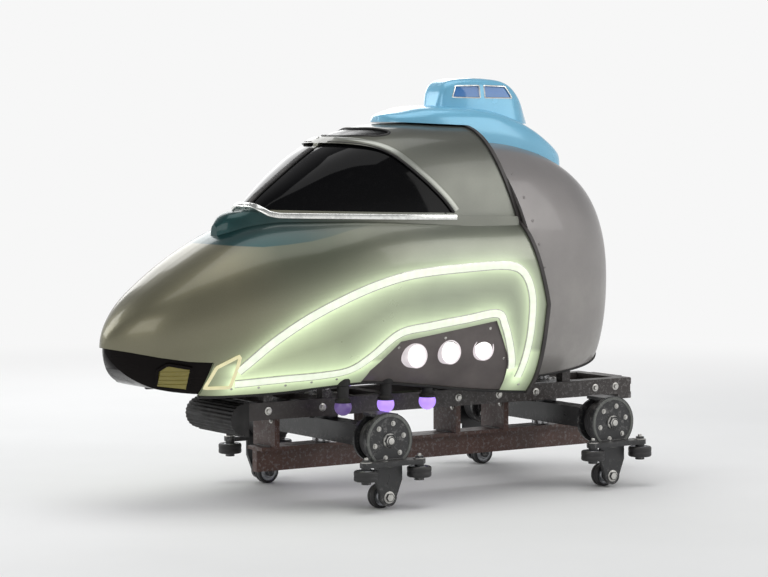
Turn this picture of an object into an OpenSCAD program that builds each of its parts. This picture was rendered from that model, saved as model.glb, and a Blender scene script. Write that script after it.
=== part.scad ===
// Lead car of a small coaster train, in millimetres.
// +X points to the nose, +Y to the car's left and +Z up.
// z = 0 is the underside of the upstop wheels, x = 0 is halfway along the car.

/* [Body shell] */
// Thickness of the moulded shell
wall = 12; // [6:20]
// x where the body ends at the seam, below the rake
seam_x = -340; // [-400:-280]
// Forward lean of the seam above its knee, mm per mm of height
seam_rake = 0.287; // [0:0.01:0.5]
// Height of the knee in the seam
seam_knee = 560; // [450:700]
// Thickness of the ring in the seam
ring_width = 12; // [8:24]
// Height of the deck that the canopy stands on
deck_z = 820; // [800:850]
// Lower edge of the side windows at the middle of the car
window_z = 833; // [830:870]
// Upper edge of the rim at the canopy's foot, at the middle of the car
rim_z = 825; // [821:830]
// Rise of those two edges towards the nose, mm per mm of length
foot_slope = 0.024; // [0:0.002:0.03]
// Half width of the pillar between the two side windows
spine = 12; // [8:30]
// Thickness of the glazing
glass = 7; // [4:10]
// Width of the raised band round each side window's arc
arch_width = 22; // [10:40]

/* [Light strips] */
// Width of a light strip
strip_width = 26; // [10:40]
// How far a strip stands out of the shell
strip_height = 5; // [2:10]
// Radius of a side lamp
lamp_radius = 33; // [20:45]

/* [Track] */
// Distance between the centres of the two rails
gauge = 620; // [500:900]
// Radius of the round rail
rail_radius = 30; // [24:45]
// Height of the rail's centre
rail_z = 105; // [95:120]

/* [Wheels] */
// Radius of a road wheel
road_radius = 60; // [45:80]
// Width of a road wheel
road_width = 40; // [30:60]
// Radius of the side guide and upstop wheels
small_radius = 35; // [25:45]
// Width of the side guide and upstop wheels
small_width = 30; // [20:40]
// Distance of a guide wheel from the middle of its truck
guide_offset = 90; // [80:120]
// Radius of the round plates beside a road wheel
plate_radius = 79; // [70:82]
// Radius of a road wheel's axle
road_axle = 12; // [8:16]
// Radius of a small wheel's axle
small_axle = 8; // [6:12]
// Radial clearance of a pin in its bore
running = 0.05; // [0.02:0.01:0.10]

/* [Chassis] */
// x of the front truck's king pin
front_x = 222; // [150:300]
// x of the rear truck's king pin
rear_x = -586; // [-700:-500]
// Radius of a king pin
king_radius = 16; // [12:20]
// Distance of a frame tube's middle from the centre line
tube_y = 110; // [90:125]
// Lower face of the frame tubes
tube_low = 250; // [245:260]
// Upper face of the frame tubes
tube_high = 300; // [290:310]
// x of the frame's front end
frame_front = 545; // [500:660]
// x of the frame's rear end
frame_rear = -840; // [-860:-800]
// Length of the coupler behind the frame
coupler_length = 100; // [80:140]
// Radius of the coupler's pin bore
coupler_bore = 12.55; // [10:0.05:16]

/* [Hidden] */
$fn = 48;
canopy_base = deck_z - 36;    // the canopy's sections start here or lower, inside the body
touch = 0.1;    // gap between two fixed pieces that meet on a moulded surface
rail_y = gauge / 2;
road_z = rail_z + rail_radius + road_radius + 1;
guide_y = rail_y + rail_radius + small_radius + 1;
inner_y = rail_y - road_width / 2 - 20;    // where an axle beam meets its carriage
upstop_z = small_radius;
rim_radius = road_radius - 16;    // where a road wheel's tyre sits on its hub
plate_y = rail_y + road_width / 2 + 16;    // inner face of a carriage's outer plate
plate = 12;    // thickness of that plate
arm_z = rail_z + 23;    // underside of the arm that carries the guide wheels
arm = 14;    // thickness of that arm
fork_z = road_z + road_radius + 6;    // underside of the bridge over the road wheel
guide_foot = rail_z - small_width / 2 - 9;    // lower end of a guide wheel's washer
upstop_start = rail_y - small_width / 2 - 7.5;    // inner end of an upstop wheel's axle
coupler_end = frame_rear - coupler_length;
left = 1;
right = -1;

// moulded shells
// x, top, bottom, half width, deck (0 = rounded hood, 1 = flat deck with shoulders)
body_rows = [
    [940, 480, 448,  12, 0], [929, 512, 420,  40, 0], [898, 556, 384,  86, 0],
    [850, 604, 355, 136, 0], [790, 649, 340, 177, 0], [700, 708, 331, 221, 0],
    [590, 768, 331, 258, 0], [475, 809, 335, 289, 0.12], [350, deck_z, 344, 315, 0.45],
    [200, deck_z, 350, 334, 0.85], [30, deck_z, 332, 346, 1], [-150, deck_z, 310, 352, 1],
    [-330, deck_z, 295, 353, 1], [-430, deck_z, 290, 353, 1]];
// x, top, half width
canopy_rows = [
    [574, 792, 10], [546, 820, 36], [504, 836, 60], [470, 860, 86], [436, 889, 110],
    [385, 928, 150],
    [325, 972, 186], [262, 1014, 217], [190, 1049, 247], [105, 1076, 272],
    [10, 1090, 289], [-95, 1095, 298], [-205, 1095, 300], [-320, 1090, 300], [-430, 1084, 300]];
// x, top, bottom, half width
cap_rows = [
    [-150, 1056, 330, 333], [-240, 1054, 332, 333], [-330, 1046, 335, 332],
    [-415, 1028, 340, 326], [-495, 1004, 346, 313], [-565, 968, 354, 293],
    [-622, 921, 364, 264], [-664, 860, 378, 226], [-690, 790, 398, 178],
    [-704, 722, 430, 118], [-708, 660, 480, 50]];
// height, half width: both as fractions of the station's own
hood_side = [[0, 0.72], [0.05, 0.79], [0.12, 0.86], [0.22, 0.94], [0.34, 0.99], [0.47, 1],
    [0.6, 0.975], [0.71, 0.92], [0.8, 0.84], [0.87, 0.74], [0.92, 0.63], [0.96, 0.48],
    [0.985, 0.32], [0.996, 0.17], [1, 0]];
deck_side = [[0, 0.7], [0.07, 0.79], [0.16, 0.865], [0.28, 0.925], [0.4, 0.965], [0.55, 1],
    [0.7, 1.005], [0.79, 0.99], [0.86, 0.96], [0.915, 0.915], [0.955, 0.86], [0.985, 0.79],
    [1, 0.7], [1, 0.35], [1, 0]];
canopy_side = [[0, 1], [0.12, 0.99], [0.25, 0.972], [0.38, 0.943], [0.5, 0.907], [0.62, 0.858],
    [0.73, 0.797], [0.82, 0.722], [0.89, 0.628], [0.94, 0.51], [0.975, 0.36], [0.994, 0.19],
    [1, 0]];
cap_side = [[0, 0.74], [0.05, 0.81], [0.13, 0.88], [0.24, 0.945], [0.36, 0.985], [0.48, 1],
    [0.6, 0.99], [0.71, 0.95], [0.8, 0.88], [0.87, 0.79], [0.925, 0.67], [0.965, 0.51],
    [0.99, 0.3], [1, 0]];

// A smooth curve through the rows of a table, k steps a row
function curve(a, b, c, d, t) = 0.5 * (2 * b + (c - a) * t + (2 * a - 5 * b + 4 * c - d) * t * t
    + (3 * b - a - 3 * c + d) * t * t * t);
function smooth(rows, k) = let (last = len(rows) - 1) concat(
    [for (i = [0 : last - 1], j = [0 : k - 1])
        curve(rows[max(i - 1, 0)], rows[i], rows[i + 1], rows[min(i + 2, last)], j / k)],
    [rows[last]]);
// One cross-section; down > 0 carries its lower edges straight down, for a hollow
function ring(x, top, low, half, side, down = 0) = concat(
    down > 0 ? [[x, -half * side[0][1], low - down]] : [],
    [for (p = side) [x, -half * p[1], low + (top - low) * p[0]]],
    [for (i = [len(side) - 2 : -1 : 0])
        [x, half * side[i][1], low + (top - low) * side[i][0]]],
    down > 0 ? [[x, half * side[0][1], low - down]] : []);
function middle(r, s = [0, 0, 0], i = 0) = i == len(r) ? s / len(r) : middle(r, s + r[i], i + 1);

module loft(rings) {
    n = len(rings[0]);
    m = len(rings);
    polyhedron(
        points = concat([for (r = rings) each r], [middle(rings[0]), middle(rings[m - 1])]),
        faces = concat(
            [for (i = [0 : m - 2], j = [0 : n - 1]) let (k = (j + 1) % n)
                [i * n + k, i * n + j, (i + 1) * n + j]],
            [for (i = [0 : m - 2], j = [0 : n - 1]) let (k = (j + 1) % n)
                [i * n + k, (i + 1) * n + j, (i + 1) * n + k]],
            [for (j = [0 : n - 1]) [m * n, j, (j + 1) % n]],
            [for (j = [0 : n - 1]) [m * n + 1, (m - 1) * n + (j + 1) % n, (m - 1) * n + j]]),
        convexity = 8);
}

// The body, canopy and rear cap, each grown outwards by g
module body(g = 0, down = 0) loft([for (r = smooth(body_rows, 2)) ring(
    r[0] + g * max(0, (r[0] - 300) / 640), r[1] + g, r[2] - (down > 0 ? 0 : g),
    max(r[3] + g, 3), (1 - r[4]) * hood_side + r[4] * deck_side, down)]);

module canopy(g = 0, down = 0) loft([for (r = smooth(canopy_rows, 2)) ring(
    r[0] + g * max(0, r[0] / 574), r[1] + g, min(canopy_base, r[1] - 50), max(r[2] + g, 3),
    canopy_side, down)]);

module cap(g = 0, down = 0) loft([for (r = smooth(cap_rows, 2)) ring(
    r[0] - g * max(0, -(r[0] + 400) / 308), r[1] + g, r[2] - (down > 0 ? 0 : g),
    max(r[3] + g, 3), cap_side, down)]);

// An X-Z outline carried across the car, or across its sides only
module across(outline, inner = 0) for (s = [left, right])
    translate([0, s > 0 ? 500 : -inner, 0]) rotate([90, 0, 0])
        linear_extrude(500 - inner) polygon(outline);

// Everything behind the seam, moved back by d
module behind_seam(d = 0) translate([-d, 500, 0]) rotate([90, 0, 0]) linear_extrude(1000)
    polygon([[seam_x, 200], [seam_x, seam_knee],
        [seam_x + (1200 - seam_knee) * seam_rake, 1200], [-1100, 1200], [-1100, 200]]);

// outlines on the sides
// The window's edge from its rear tip over the top to the pillar
window_arc = [[-46, window_z - 1], [-34, 849], [-18, 869], [4, 893], [30, 920], [58, 947], [87, 975],
    [115, 999], [144, 1015], [175, 1025], [211, 1031], [240, 1034]];
arch_path = concat([[-54, rim_z - 4]], window_arc);    // the raised band ends in the rim
side_window = concat(window_arc, [[262, 1060], [560, 1060], [560, window_z + 560 * foot_slope]]);
under_rim = [[-600, 700], [-600, rim_z - 600 * foot_slope], [600, rim_z + 600 * foot_slope],
    [600, 700]];
roof_window_top = [[181, 8], [178, 40], [166, 76], [146, 112], [120, 142], [88, 150], [74, 136],
    [82, 104], [94, 66], [104, 30], [107, 8]];
chin = [[728, 300], [704, 430], [768, 434], [840, 446], [900, 459], [980, 474], [980, 300]];
headlamp = [[758, 350], [761, 414], [820, 426], [842, 408], [836, 360]];
lamp_recess = [[238, 260], [238, 352], [226, 388], [150, 470], [-166, 518], [-230, 402],
    [-244, 300], [-244, 260]];
upper_strip = [[652, 384], [608, 428], [545, 484], [450, 546], [337, 600], [225, 640],
    [110, 664], [-60, 676], [-196, 678], [-254, 654], [-284, 590], [-292, 500], [-290, 420],
    [-282, 345]];
lower_strip = [[652, 366], [500, 376], [380, 382], [296, 394], [236, 432], [160, 494],
    [60, 512], [-60, 528], [-164, 540], [-196, 504], [-236, 414], [-247, 374]];
corner_outer = [[722, 352], [702, 420], [628, 460], [640, 352]];
corner_inner = [[709, 363], [692, 411], [645, 437], [652, 363]];
lamp_z = [427, 432, 437];    // the side lamps, front to back
lamp_x = [100, -18, -136];

function unit(v) = v / norm(v);
function normal(p, i) = let (t = unit(p[min(i + 1, len(p) - 1)] - p[max(i - 1, 0)])) [-t[1], t[0]];
// A band of width w along a path
function band(p, w) = concat([for (i = [0 : len(p) - 1]) p[i] + normal(p, i) * w / 2],
    [for (i = [len(p) - 1 : -1 : 0]) p[i] - normal(p, i) * w / 2]);

module nose_shell() color([0.55, 0.58, 0.52]) difference() {
    body();
    body(-wall, 60);
    canopy(-wall, 90);
    across(chin);
    across(lamp_recess, 120);
    behind_seam();
}

module canopy_shell() color([0.55, 0.58, 0.52]) difference() {
    union() {
        canopy();
        intersection() {
            canopy(9);
            across(under_rim);
        }
        intersection() {
            canopy(5);
            across(band(arch_path, arch_width * 2));
        }
    }
    canopy(-wall, 90);
    body(touch);
    across(side_window, spine);
    translate([0, 0, 900]) linear_extrude(300) roof_outline();
    behind_seam();
}

// The roof window's outline, moved inwards by d along its edges
module roof_outline(d = 0) {
    half = [for (i = [0 : len(roof_window_top) - 1])
        roof_window_top[i] + normal(roof_window_top, i) * d];
    polygon(concat(half, [for (i = [len(half) - 1 : -1 : 0]) [half[i][0], -half[i][1]]]));
}

module chin_panel() color([0.03, 0.03, 0.03]) intersection() {
    difference() {
        body(-6);
        body(-14);
    }
    translate([touch, 0, -touch]) across(chin);
}

module headlamps() color([0.75, 0.7, 0.25]) intersection() {
    difference() {
        body(-1);
        body(-6 + touch);
    }
    across(headlamp, 40);
}

module side_windows() color([0.02, 0.02, 0.02]) intersection() {
    difference() {
        canopy(-2);
        canopy(-2 - glass, 90);
    }
    across(side_window, spine + touch);
}

module roof_window() color([0.02, 0.02, 0.02]) intersection() {
    difference() {
        canopy(-2);
        canopy(-2 - glass, 90);
    }
    translate([0, 0, 900]) linear_extrude(300) roof_outline(touch);
}

module light_strips() color([1, 0.97, 0.8]) intersection() {
    difference() {
        body(strip_height);
        body(touch);
    }
    union() {
        across(band(smooth(upper_strip, 2), strip_width));
        across(band(smooth(lower_strip, 2), strip_width));
        difference() {
            across(corner_outer);
            across(corner_inner);
        }
    }
}

module lamp_panels() color([0.06, 0.06, 0.07]) difference() {
    intersection() {
        body(-5, 5);
        body();
        across(lamp_recess, 120 + touch);
    }
    body(-wall, 60);
}

module side_lamps() color([1, 1, 0.95]) difference() {
    for (s = [left, right], i = [0 : 2])
        translate([lamp_x[i], s * 290, lamp_z[i]]) rotate([s * -90, 0, 0])
            cylinder(r = lamp_radius, h = 32);
    body(-5 + touch, 5);
}

module seam_ring() color([0.2, 0.2, 0.2]) difference() {
    union() {
        body(6);
        canopy(6);
    }
    body(-30, 60);
    canopy(-30, 90);
    behind_seam(ring_width);
    difference() {
        translate([-1000, -600, 0]) cube([2200, 1200, 1400]);
        behind_seam(touch);
    }
}

module rear_cap() color([0.52, 0.46, 0.5]) difference() {
    cap();
    cap(-wall, 60);
    difference() {
        translate([-1000, -600, 0]) cube([2200, 1200, 1400]);
        behind_seam(ring_width + touch);
    }
}

// roof pod
// x, top, half width of the brim
brim_rows = [[26, 1112, 16], [14, 1117, 58], [-26, 1126, 102], [-92, 1140, 132],
    [-180, 1142, 148], [-290, 1136, 152], [-385, 1114, 146], [-465, 1082, 134],
    [-535, 1044, 114], [-590, 1008, 86], [-618, 985, 40]];
// x, top, half width of the crown
crown_rows = [[-166, 1146, 34], [-178, 1190, 50], [-200, 1215, 62], [-250, 1225, 76],
    [-330, 1225, 88], [-396, 1214, 92], [-440, 1178, 84], [-474, 1122, 62]];
crown_side = [[0, 1.12], [0.3, 1.06], [0.6, 0.99], [0.8, 0.93], [0.92, 0.84], [0.98, 0.7],
    [1, 0.5], [1, 0]];
brim_side = [[0, 1], [0.55, 1], [0.75, 0.985], [0.88, 0.93], [0.95, 0.82], [0.985, 0.62],
    [1, 0.3], [1, 0]];

module crown(g = 0) loft([for (r = smooth(crown_rows, 2))
    ring(r[0], r[1] + g, 1090, r[2] + g, crown_side)]);
module brim() loft([for (r = smooth(brim_rows, 2)) ring(r[0], r[1], 900, r[2], brim_side)]);

front_pane = [[-204, 1168], [-216, 1202], [-292, 1204], [-292, 1167]];
rear_pane = [[-308, 1167], [-308, 1204], [-384, 1202], [-406, 1167]];
pane_depth = 40;

module roof_pod() color([0.45, 0.75, 0.92]) difference() {
    union() {
        brim();
        crown();
    }
    difference() {
        canopy(6 + touch, 90);
        behind_seam(ring_width);
    }
    cap(touch);
    for (pane = [front_pane, rear_pane]) across(pane, pane_depth);
}

module pod_windows() color([0.12, 0.3, 0.55]) intersection() {
    crown(-3);
    for (pane = [front_pane, rear_pane]) across(pane, pane_depth + touch);
}

// underside
glow_x = [0, 146, 292];
glow_y = 226;
glow_z = 284;
glow_radius = 25;

module glow_lamps() color([0.5, 0.3, 1]) difference() {
    for (s = [left, right], x = glow_x) translate([x, s * glow_y, glow_z]) {
        cylinder(r = glow_radius, h = 84);
        sphere(r = glow_radius);
    }
    body(touch);
}

module box(x0, x1, y0, y1, z0, z1) translate([x0, y0, z0]) cube([x1 - x0, y1 - y0, z1 - z0]);

hanger_x = [410, 60, -230, -410];
cross_x = concat(frame_front - 20, hanger_x, frame_rear + 20);
outrigger_x = [480, 282, -303];
rear_outrigger_x = -590;
outrigger_z = 362;    // underside of the outriggers
pin_low = 161;    // lower end of a king pin

module frame() color([0.09, 0.08, 0.08]) difference() {
    union() {
        for (s = [-1, 1])
            box(frame_rear, frame_front, s * tube_y - 20, s * tube_y + 20, tube_low, tube_high);
        for (x = cross_x)
            box(x - 20, x + 20, 20 - tube_y, tube_y - 20, tube_low, tube_high);
        for (x = [front_x, rear_x]) {
            box(x - 55, x + 55, 20 - tube_y, tube_y - 20, tube_low, tube_high);
            translate([x, 0, tube_low - 10]) cylinder(r = 50, h = 10);
        }
    }
    for (x = [front_x, rear_x])
        translate([x, 0, tube_low - 20]) cylinder(r = king_radius + running, h = 100);
}

module king_pins() color([0.5, 0.5, 0.5]) for (x = [front_x, rear_x]) translate([x, 0, 0]) {
    translate([0, 0, pin_low]) cylinder(r = king_radius, h = tube_high + 10 - pin_low);
    translate([0, 0, tube_high]) cylinder(r = 28, h = 10);
    translate([0, 0, pin_low]) cylinder(r = 26, h = 10);
}

module drive_beam() color([0.13, 0.1, 0.09]) union() {
    box(frame_rear + 20, 450, -12, 12, 85, 148);
    box(frame_rear + 20, 450, -40, 40, 148, 158);
    for (x = hanger_x) box(x - 8, x + 8, -60, 60, 158, tube_low);
}

module front_buffer() color([0.06, 0.05, 0.05]) union() {
    box(frame_front, frame_front + 14, -130, 130, 205, 305);
    intersection() {
        translate([frame_front + 14, 130, 255]) rotate([90, 0, 0]) cylinder(r = 46, h = 260);
        box(frame_front, frame_front + 100, -130, 130, 200, 320);
    }
}

module outriggers() color([0.1, 0.1, 0.1]) union() {
    intersection() {
        for (x = outrigger_x) box(x - 15, x + 15, -400, 400, outrigger_z, outrigger_z + 26);
        body(-wall - touch, 60);
    }
    intersection() {
        box(rear_outrigger_x - 15, rear_outrigger_x + 15, -400, 400, outrigger_z + 18,
            outrigger_z + 44);
        cap(-wall - touch, 60);
    }
    for (s = [left, right]) {
        for (x = outrigger_x)
            box(x - 15, x + 15, s * tube_y - 15, s * tube_y + 15, tube_high, outrigger_z);
        box(rear_outrigger_x - 15, rear_outrigger_x + 15, s * tube_y - 15, s * tube_y + 15,
            tube_high, outrigger_z + 18);
    }
}

module coupler() color([0.12, 0.12, 0.12]) difference() {
    union() {
        box(frame_rear - 14, frame_rear, -70, 70, 212, 300);
        for (z = [222, 266]) {
            box(coupler_end + 35, frame_rear - 10, -35, 35, z, z + 18);
            translate([coupler_end + 35, 0, z]) cylinder(r = 35, h = 18);
        }
    }
    translate([coupler_end + 35, 0, 200]) cylinder(r = coupler_bore, h = 120);
}

// trucks
module at_truck(x, side) translate([x, 0, 0]) mirror([0, side < 0 ? 1 : 0, 0]) children();

module axle_beam() difference() {
    union() {
        box(-32, 32, -inner_y, inner_y, 172, 232);
        for (y = [-inner_y, inner_y - 12]) box(-46, 46, y, y + 12, 158, 242);
        translate([0, 0, 232]) cylinder(r = 50, h = 7.5);
    }
    translate([0, 0, 150]) cylinder(r = king_radius + running, h = 100);
}

// A cylinder that points outwards from y
module outwards(y, z, r, h, sides = $fn) translate([0, y, z]) rotate([-90, 0, 0])
    cylinder(r = r, h = h, $fn = sides);

// Fork over the road wheel, arms for the guide wheels and the leg down to the upstop wheel
module carriage() {
    outwards(inner_y, road_z, plate_radius - 12, 10);
    outwards(plate_y, road_z, plate_radius, plate);
    outwards(plate_y, upstop_z, 26, plate);
    translate([0, plate_y + plate, 0]) rotate([90, 0, 0]) linear_extrude(plate)
        polygon([[-25, upstop_z], [25, upstop_z], [44, 84], [44, arm_z], [60, 150],
            [-60, 150], [-44, arm_z], [-44, 84]]);
    box(-30, 30, inner_y, plate_y + plate, fork_z, fork_z + 9);
    box(-guide_offset, guide_offset, plate_y, guide_y + 18, arm_z, arm_z + arm);
    for (x = [-guide_offset, guide_offset]) translate([x, guide_y, 0]) {
        translate([0, 0, arm_z]) cylinder(r = 18, h = arm);
        translate([0, 0, arm_z + arm]) cylinder(r = 13, h = 8, $fn = 6);
        translate([0, 0, guide_foot + 1]) cylinder(r = small_axle, h = arm_z + 3 - guide_foot);
        translate([0, 0, rail_z + small_width / 2 + 0.5]) cylinder(r = 14, h = 8);
        translate([0, 0, guide_foot]) cylinder(r = 14, h = 8.5);
    }
    outwards(inner_y, road_z, road_axle, plate_y + 24 - inner_y);
    outwards(inner_y + 10, road_z, 20, 9.5);
    outwards(rail_y + road_width / 2 + 0.5, road_z, 20, plate_y - rail_y - road_width / 2);
    outwards(plate_y + plate, road_z, 20, 9, 6);
    outwards(upstop_start, upstop_z, small_axle, plate_y + 4 - upstop_start);
    outwards(upstop_start, upstop_z, 14, 7);
    outwards(rail_y + small_width / 2 + 0.5, upstop_z, 16,
        plate_y + 4 - rail_y - small_width / 2);
    outwards(plate_y + plate, upstop_z, 13, 7, 6);
}

// Half of a wheel's section, mirrored about its middle and turned about its axle
module turned(half_section) rotate_extrude() polygon(concat(
    half_section, [for (i = [len(half_section) - 1 : -1 : 0])
        [half_section[i][0], -half_section[i][1]]]));

module tyre_at() translate([0, rail_y, road_z]) rotate([-90, 0, 0]) turned([
    [rim_radius, -road_width / 2], [road_radius - 5, -road_width / 2],
    [road_radius - 1, 4 - road_width / 2], [road_radius, 11 - road_width / 2]]);

module hub_at() translate([0, rail_y, road_z]) rotate([-90, 0, 0]) turned([
    [road_axle + running, -road_width / 2], [road_axle * 2, -road_width / 2],
    [road_axle * 2 + 4, 8 - road_width / 2], [rim_radius - 6, 8 - road_width / 2],
    [rim_radius - 4, 2 - road_width / 2], [rim_radius, 2 - road_width / 2]]);

module small_wheel() turned([
    [small_axle + running, -small_width / 2], [small_axle + 10, -small_width / 2],
    [small_axle + 12, 3 - small_width / 2], [small_radius - 9, 3 - small_width / 2],
    [small_radius - 7, -small_width / 2], [small_radius - 3, -small_width / 2],
    [small_radius, 4 - small_width / 2]]);

module guide_at(x) translate([x, guide_y, rail_z]) small_wheel();
module upstop_at() translate([0, rail_y, upstop_z]) rotate([-90, 0, 0]) small_wheel();

steel = [0.1, 0.1, 0.1];
rubber = [0.04, 0.04, 0.04];
metal = [0.6, 0.6, 0.62];

module front_axle_beam() color(steel) translate([front_x, 0, 0]) axle_beam();
module rear_axle_beam() color(steel) translate([rear_x, 0, 0]) axle_beam();
module front_carriage_left() color(steel) at_truck(front_x, left) carriage();
module front_carriage_right() color(steel) at_truck(front_x, right) carriage();
module rear_carriage_left() color(steel) at_truck(rear_x, left) carriage();
module rear_carriage_right() color(steel) at_truck(rear_x, right) carriage();
module front_left_tyre() color(rubber) at_truck(front_x, left) tyre_at();
module front_right_tyre() color(rubber) at_truck(front_x, right) tyre_at();
module rear_left_tyre() color(rubber) at_truck(rear_x, left) tyre_at();
module rear_right_tyre() color(rubber) at_truck(rear_x, right) tyre_at();
module front_left_hub() color(metal) at_truck(front_x, left) hub_at();
module front_right_hub() color(metal) at_truck(front_x, right) hub_at();
module rear_left_hub() color(metal) at_truck(rear_x, left) hub_at();
module rear_right_hub() color(metal) at_truck(rear_x, right) hub_at();
module front_left_guide_a() color(rubber) at_truck(front_x, left) guide_at(guide_offset);
module front_left_guide_b() color(rubber) at_truck(front_x, left) guide_at(-guide_offset);
module front_right_guide_a() color(rubber) at_truck(front_x, right) guide_at(guide_offset);
module front_right_guide_b() color(rubber) at_truck(front_x, right) guide_at(-guide_offset);
module rear_left_guide_a() color(rubber) at_truck(rear_x, left) guide_at(guide_offset);
module rear_left_guide_b() color(rubber) at_truck(rear_x, left) guide_at(-guide_offset);
module rear_right_guide_a() color(rubber) at_truck(rear_x, right) guide_at(guide_offset);
module rear_right_guide_b() color(rubber) at_truck(rear_x, right) guide_at(-guide_offset);
module front_left_upstop() color(rubber) at_truck(front_x, left) upstop_at();
module front_right_upstop() color(rubber) at_truck(front_x, right) upstop_at();
module rear_left_upstop() color(rubber) at_truck(rear_x, left) upstop_at();
module rear_right_upstop() color(rubber) at_truck(rear_x, right) upstop_at();

frame();
king_pins();
drive_beam();
front_buffer();
outriggers();
coupler();
nose_shell();
canopy_shell();
chin_panel();
headlamps();
side_windows();
roof_window();
light_strips();
lamp_panels();
side_lamps();
seam_ring();
rear_cap();
roof_pod();
pod_windows();
glow_lamps();
front_axle_beam();
front_carriage_left();
front_carriage_right();
rear_axle_beam();
rear_carriage_left();
rear_carriage_right();
front_left_tyre();
front_left_hub();
front_right_tyre();
front_right_hub();
rear_left_tyre();
rear_left_hub();
rear_right_tyre();
rear_right_hub();
front_left_guide_a();
front_left_guide_b();
front_right_guide_a();
front_right_guide_b();
rear_left_guide_a();
rear_left_guide_b();
rear_right_guide_a();
rear_right_guide_b();
front_left_upstop();
front_right_upstop();
rear_left_upstop();
rear_right_upstop();
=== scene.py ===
"""Looks of the lead car of a small coaster train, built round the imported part."""
import math
import bmesh
import bpy
import numpy as np
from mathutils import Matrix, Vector


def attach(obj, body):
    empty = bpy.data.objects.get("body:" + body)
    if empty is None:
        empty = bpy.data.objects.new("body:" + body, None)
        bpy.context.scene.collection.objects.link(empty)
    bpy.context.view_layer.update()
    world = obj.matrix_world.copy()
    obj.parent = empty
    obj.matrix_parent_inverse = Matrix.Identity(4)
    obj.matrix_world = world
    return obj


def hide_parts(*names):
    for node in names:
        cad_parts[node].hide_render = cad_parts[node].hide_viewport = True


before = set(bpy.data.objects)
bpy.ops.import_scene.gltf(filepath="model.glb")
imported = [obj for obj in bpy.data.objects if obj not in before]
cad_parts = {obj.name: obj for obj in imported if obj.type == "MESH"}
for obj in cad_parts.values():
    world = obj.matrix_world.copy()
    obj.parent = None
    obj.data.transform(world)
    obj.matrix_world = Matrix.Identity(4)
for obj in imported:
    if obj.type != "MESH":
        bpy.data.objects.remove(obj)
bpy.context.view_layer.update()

MM = 0.001
LEFT, RIGHT = 1, -1
FLIP = np.array([1, -1, 1])
Y_AXIS, Z_AXIS = (0, 1, 0), (0, 0, 1)
CUT, ADD, KEEP = "DIFFERENCE", "UNION", "INTERSECT"

# sizes, in mm, as in the part
WALL, SEAM_X, SEAM_RAKE, SEAM_KNEE, RING_WIDTH = 12, -340, 0.287, 560, 12
DECK_Z, WINDOW_Z, RIM_Z, FOOT_SLOPE, SPINE, GLASS = 820, 833, 825, 0.024, 12, 7
ARCH_WIDTH, ARCH_OUT, RIM_OUT, RING_OUT = 22, 5, 9, 6
STRIP_WIDTH, RECESS_Y = 26, 120
RAIL_Y, RAIL_Z, RAIL_R, ROAD_R, SMALL_R = 310, 105, 30, 60, 35
GUIDE_OFFSET, PLATE_R = 90, 79
FRONT_X, REAR_X, TUBE_Y, TUBE_LOW, TUBE_HIGH = 222, -586, 110, 250, 300
FRAME_FRONT, FRAME_REAR = 545, -840
CROSS_X = (410, 60, -230, -410)
ROAD_Z = RAIL_Z + RAIL_R + ROAD_R + 1
GUIDE_Y = RAIL_Y + RAIL_R + SMALL_R + 1
UPSTOP_Z = SMALL_R
PLATE_Y = RAIL_Y + 36
CANOPY_BASE, CROWN_BASE, BRIM_BASE = DECK_Z - 36, 1090, 900
NOSE_FROM, NOSE_LENGTH, CANOPY_TIP, CAP_FROM, CAP_LENGTH = 300, 640, 574, -400, 308
TOUCH = 0.1

# stations: x, top, half width; cap and body have a bottom before it, body a deck share last
ROWS = {
    "body": [
        [940, 480, 448, 12, 0], [929, 512, 420, 40, 0], [898, 556, 384, 86, 0],
        [850, 604, 355, 136, 0], [790, 649, 340, 177, 0], [700, 708, 331, 221, 0],
        [590, 768, 331, 258, 0], [475, 809, 335, 289, 0.12], [350, DECK_Z, 344, 315, 0.45],
        [200, DECK_Z, 350, 334, 0.85], [30, DECK_Z, 332, 346, 1], [-150, DECK_Z, 310, 352, 1],
        [-330, DECK_Z, 295, 353, 1], [-430, DECK_Z, 290, 353, 1]],
    "canopy": [
        [574, 792, 10], [546, 820, 36], [504, 836, 60], [470, 860, 86], [436, 889, 110],
        [385, 928, 150], [325, 972, 186], [262, 1014, 217], [190, 1049, 247],
        [105, 1076, 272], [10, 1090, 289], [-95, 1095, 298], [-205, 1095, 300],
        [-320, 1090, 300], [-430, 1084, 300]],
    "cap": [
        [-150, 1056, 330, 333], [-240, 1054, 332, 333], [-330, 1046, 335, 332],
        [-415, 1028, 340, 326], [-495, 1004, 346, 313], [-565, 968, 354, 293],
        [-622, 921, 364, 264], [-664, 860, 378, 226], [-690, 790, 398, 178],
        [-704, 722, 430, 118], [-708, 660, 480, 50]],
    "brim": [
        [26, 1112, 16], [14, 1117, 58], [-26, 1126, 102], [-92, 1140, 132], [-180, 1142, 148],
        [-290, 1136, 152], [-385, 1114, 146], [-465, 1082, 134], [-535, 1044, 114],
        [-590, 1008, 86], [-618, 985, 40]],
    "crown": [
        [-166, 1146, 34], [-178, 1190, 50], [-200, 1215, 62], [-250, 1225, 76], [-330, 1225, 88],
        [-396, 1214, 92], [-440, 1178, 84], [-474, 1122, 62]]}
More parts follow.
